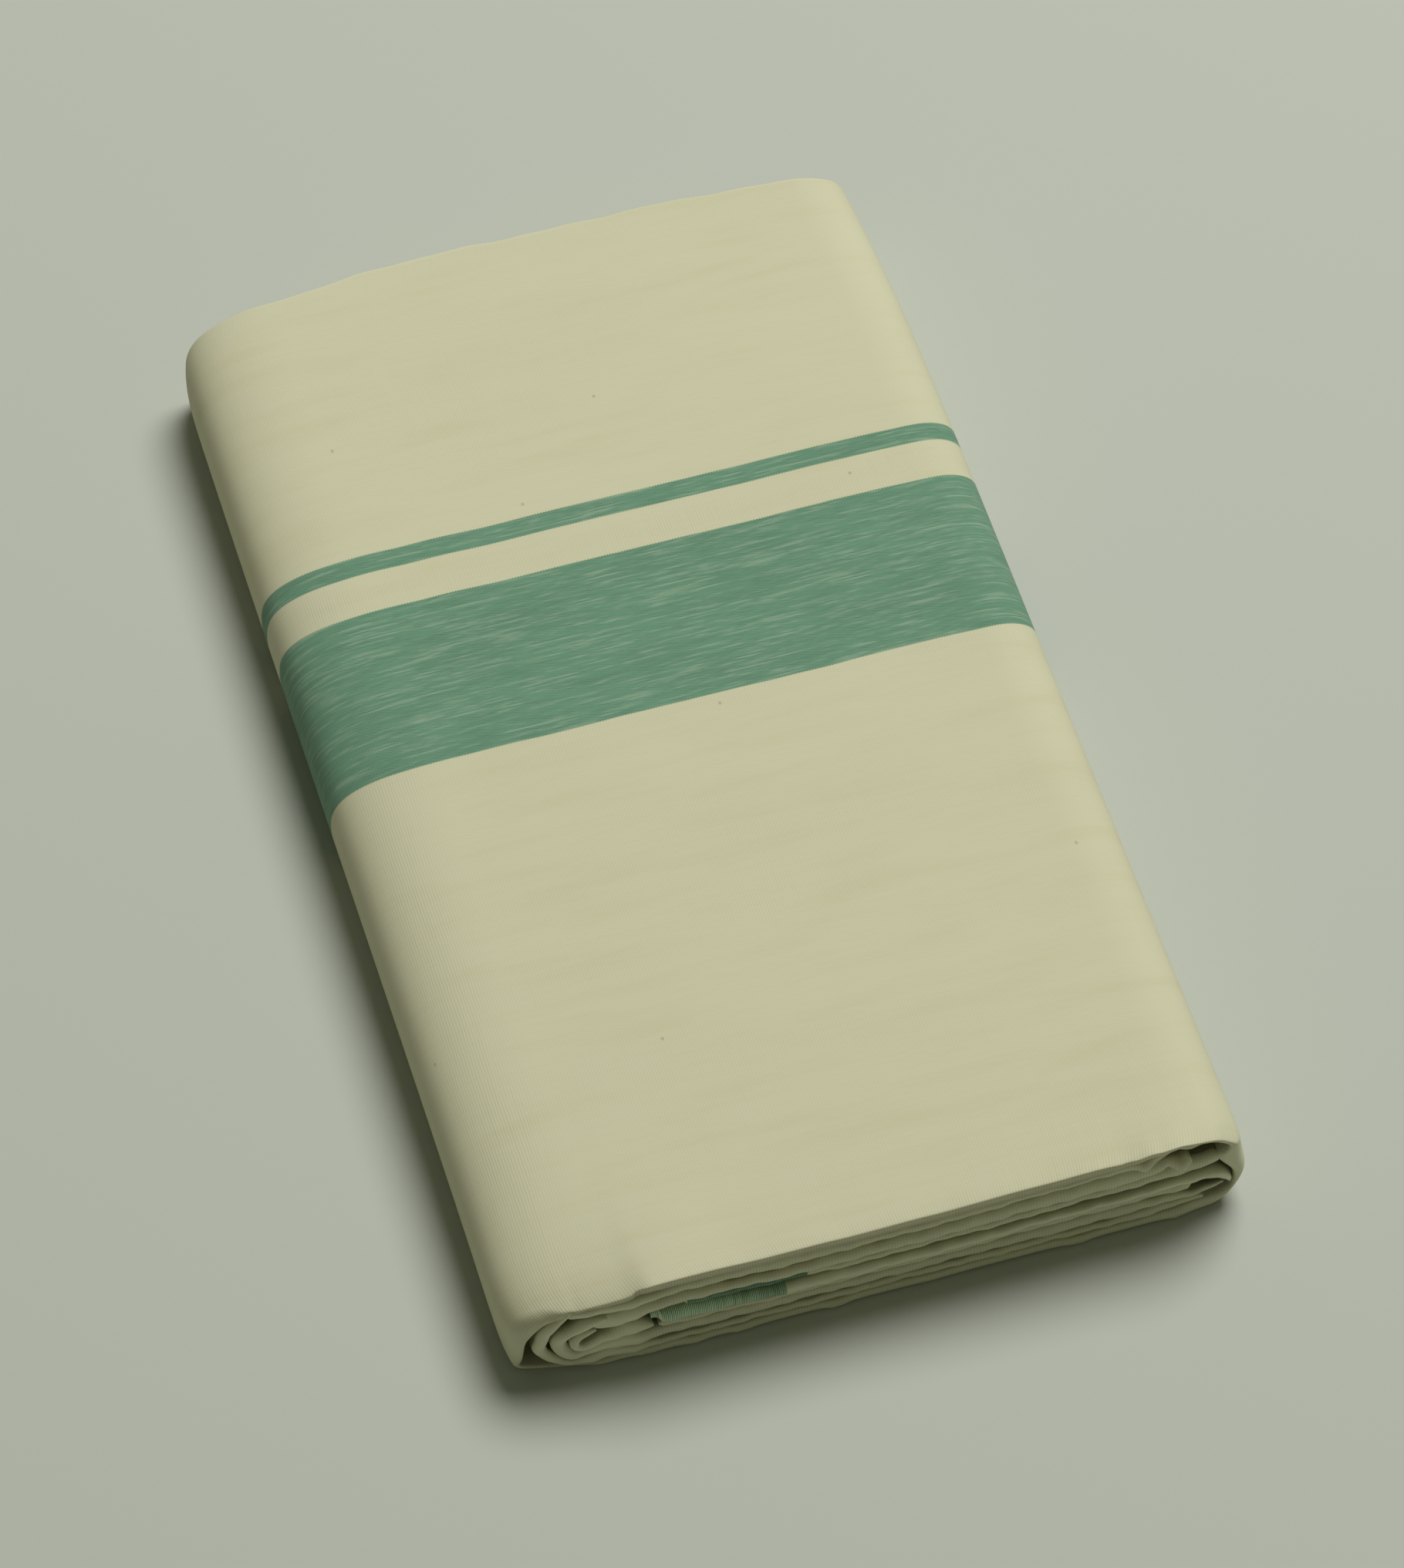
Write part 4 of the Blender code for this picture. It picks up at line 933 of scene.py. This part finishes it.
def makeStudio():
    # a square floor, round lamps aimed at the origin, and an even dim sky
    half = studio["floorSize"] / 2
    mesh = bpy.data.meshes.new("floor")
    corners = [(-half, -half, 0), (half, -half, 0), (half, half, 0), (-half, half, 0)]
    mesh.from_pydata(corners, [], [(0, 1, 2, 3)])
    floor = bpy.data.objects.new("floor", mesh)
    bpy.context.scene.collection.objects.link(floor)
    material = bpy.data.materials.new("paleFloor")
    material.use_nodes = True
    shader = material.node_tree.nodes["Principled BSDF"]
    shader.inputs["Base Color"].default_value = (*studio["floorColor"], 1.0)
    shader.inputs["Roughness"].default_value = studio["floorRoughness"]
    shader.inputs["Specular IOR Level"].default_value = studio["floorSpecular"]
    mesh.materials.append(material)
    for name, place, size, power in studio["lights"]:
        light = bpy.data.lights.new(name, "AREA")
        light.shape, light.size, light.energy = "DISK", size, power
        lamp = bpy.data.objects.new(name, light)
        bpy.context.scene.collection.objects.link(lamp)
        lamp.location = place
        lamp.rotation_euler = (-Vector(place)).to_track_quat("-Z", "Y").to_euler()
    world = bpy.data.worlds.new("studioWorld")
    world.use_nodes = True
    background = world.node_tree.nodes["Background"]
    background.inputs["Color"].default_value = (*studio["worldColor"], 1.0)
    background.inputs["Strength"].default_value = studio["worldStrength"]
    bpy.context.scene.world = world
    bpy.context.scene.view_settings.view_transform = "Standard"


makeCamera()
makeStudio()

print("stage: pieces")
bandedCotton = makeCotton("bandedCotton", bandsV=weave["wrapBands"])
creamCotton = makeCotton("creamCotton")
outerWrap = makeOuterWrap()
innerLayers = makeInnerLayers()
foldPieces, foldLengths = makeFolds()
foldNodes = {
    "nearFoldUpper": "near_fold_upper", "nearFoldThird": "near_fold_third",
    "borderPlyUpper": "border_ply_upper", "borderPlyLower": "border_ply_lower",
    "nearFoldMiddle": "near_fold_middle", "leftCurlSecond": "left_curl_second",
    "leftCurlOuter": "left_curl_outer", "leftCurlInner": "left_curl_inner",
}
# piece, node, slot, material, flat width and length in metres, what it rests on
sheets = [
    (outerWrap, "outer_wrap", "banded_cotton", bandedCotton, (0.41, 0.337), "floor"),
    (innerLayers, "inner_layers", "cream_cotton", creamCotton, (0.64, 0.176), "outerWrap"),
]
for name, node in foldNodes.items():
    slot, material = "cream_cotton", creamCotton
    if name in weave["borders"]:
        slot, material = "border_cotton", makeCotton(name + "Cotton", border=weave["borders"][name])
    flat = ((2 * folds["depth"] + folds["noseCloth"]) * mm, foldLengths[name] * mm)
    sheets.append((foldPieces[name], node, slot, material, flat, "outerWrap"))
for piece, node, slot, material, flat, support in sheets:
    piece.data.materials.append(material)
    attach(piece, "root")
    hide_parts(node)
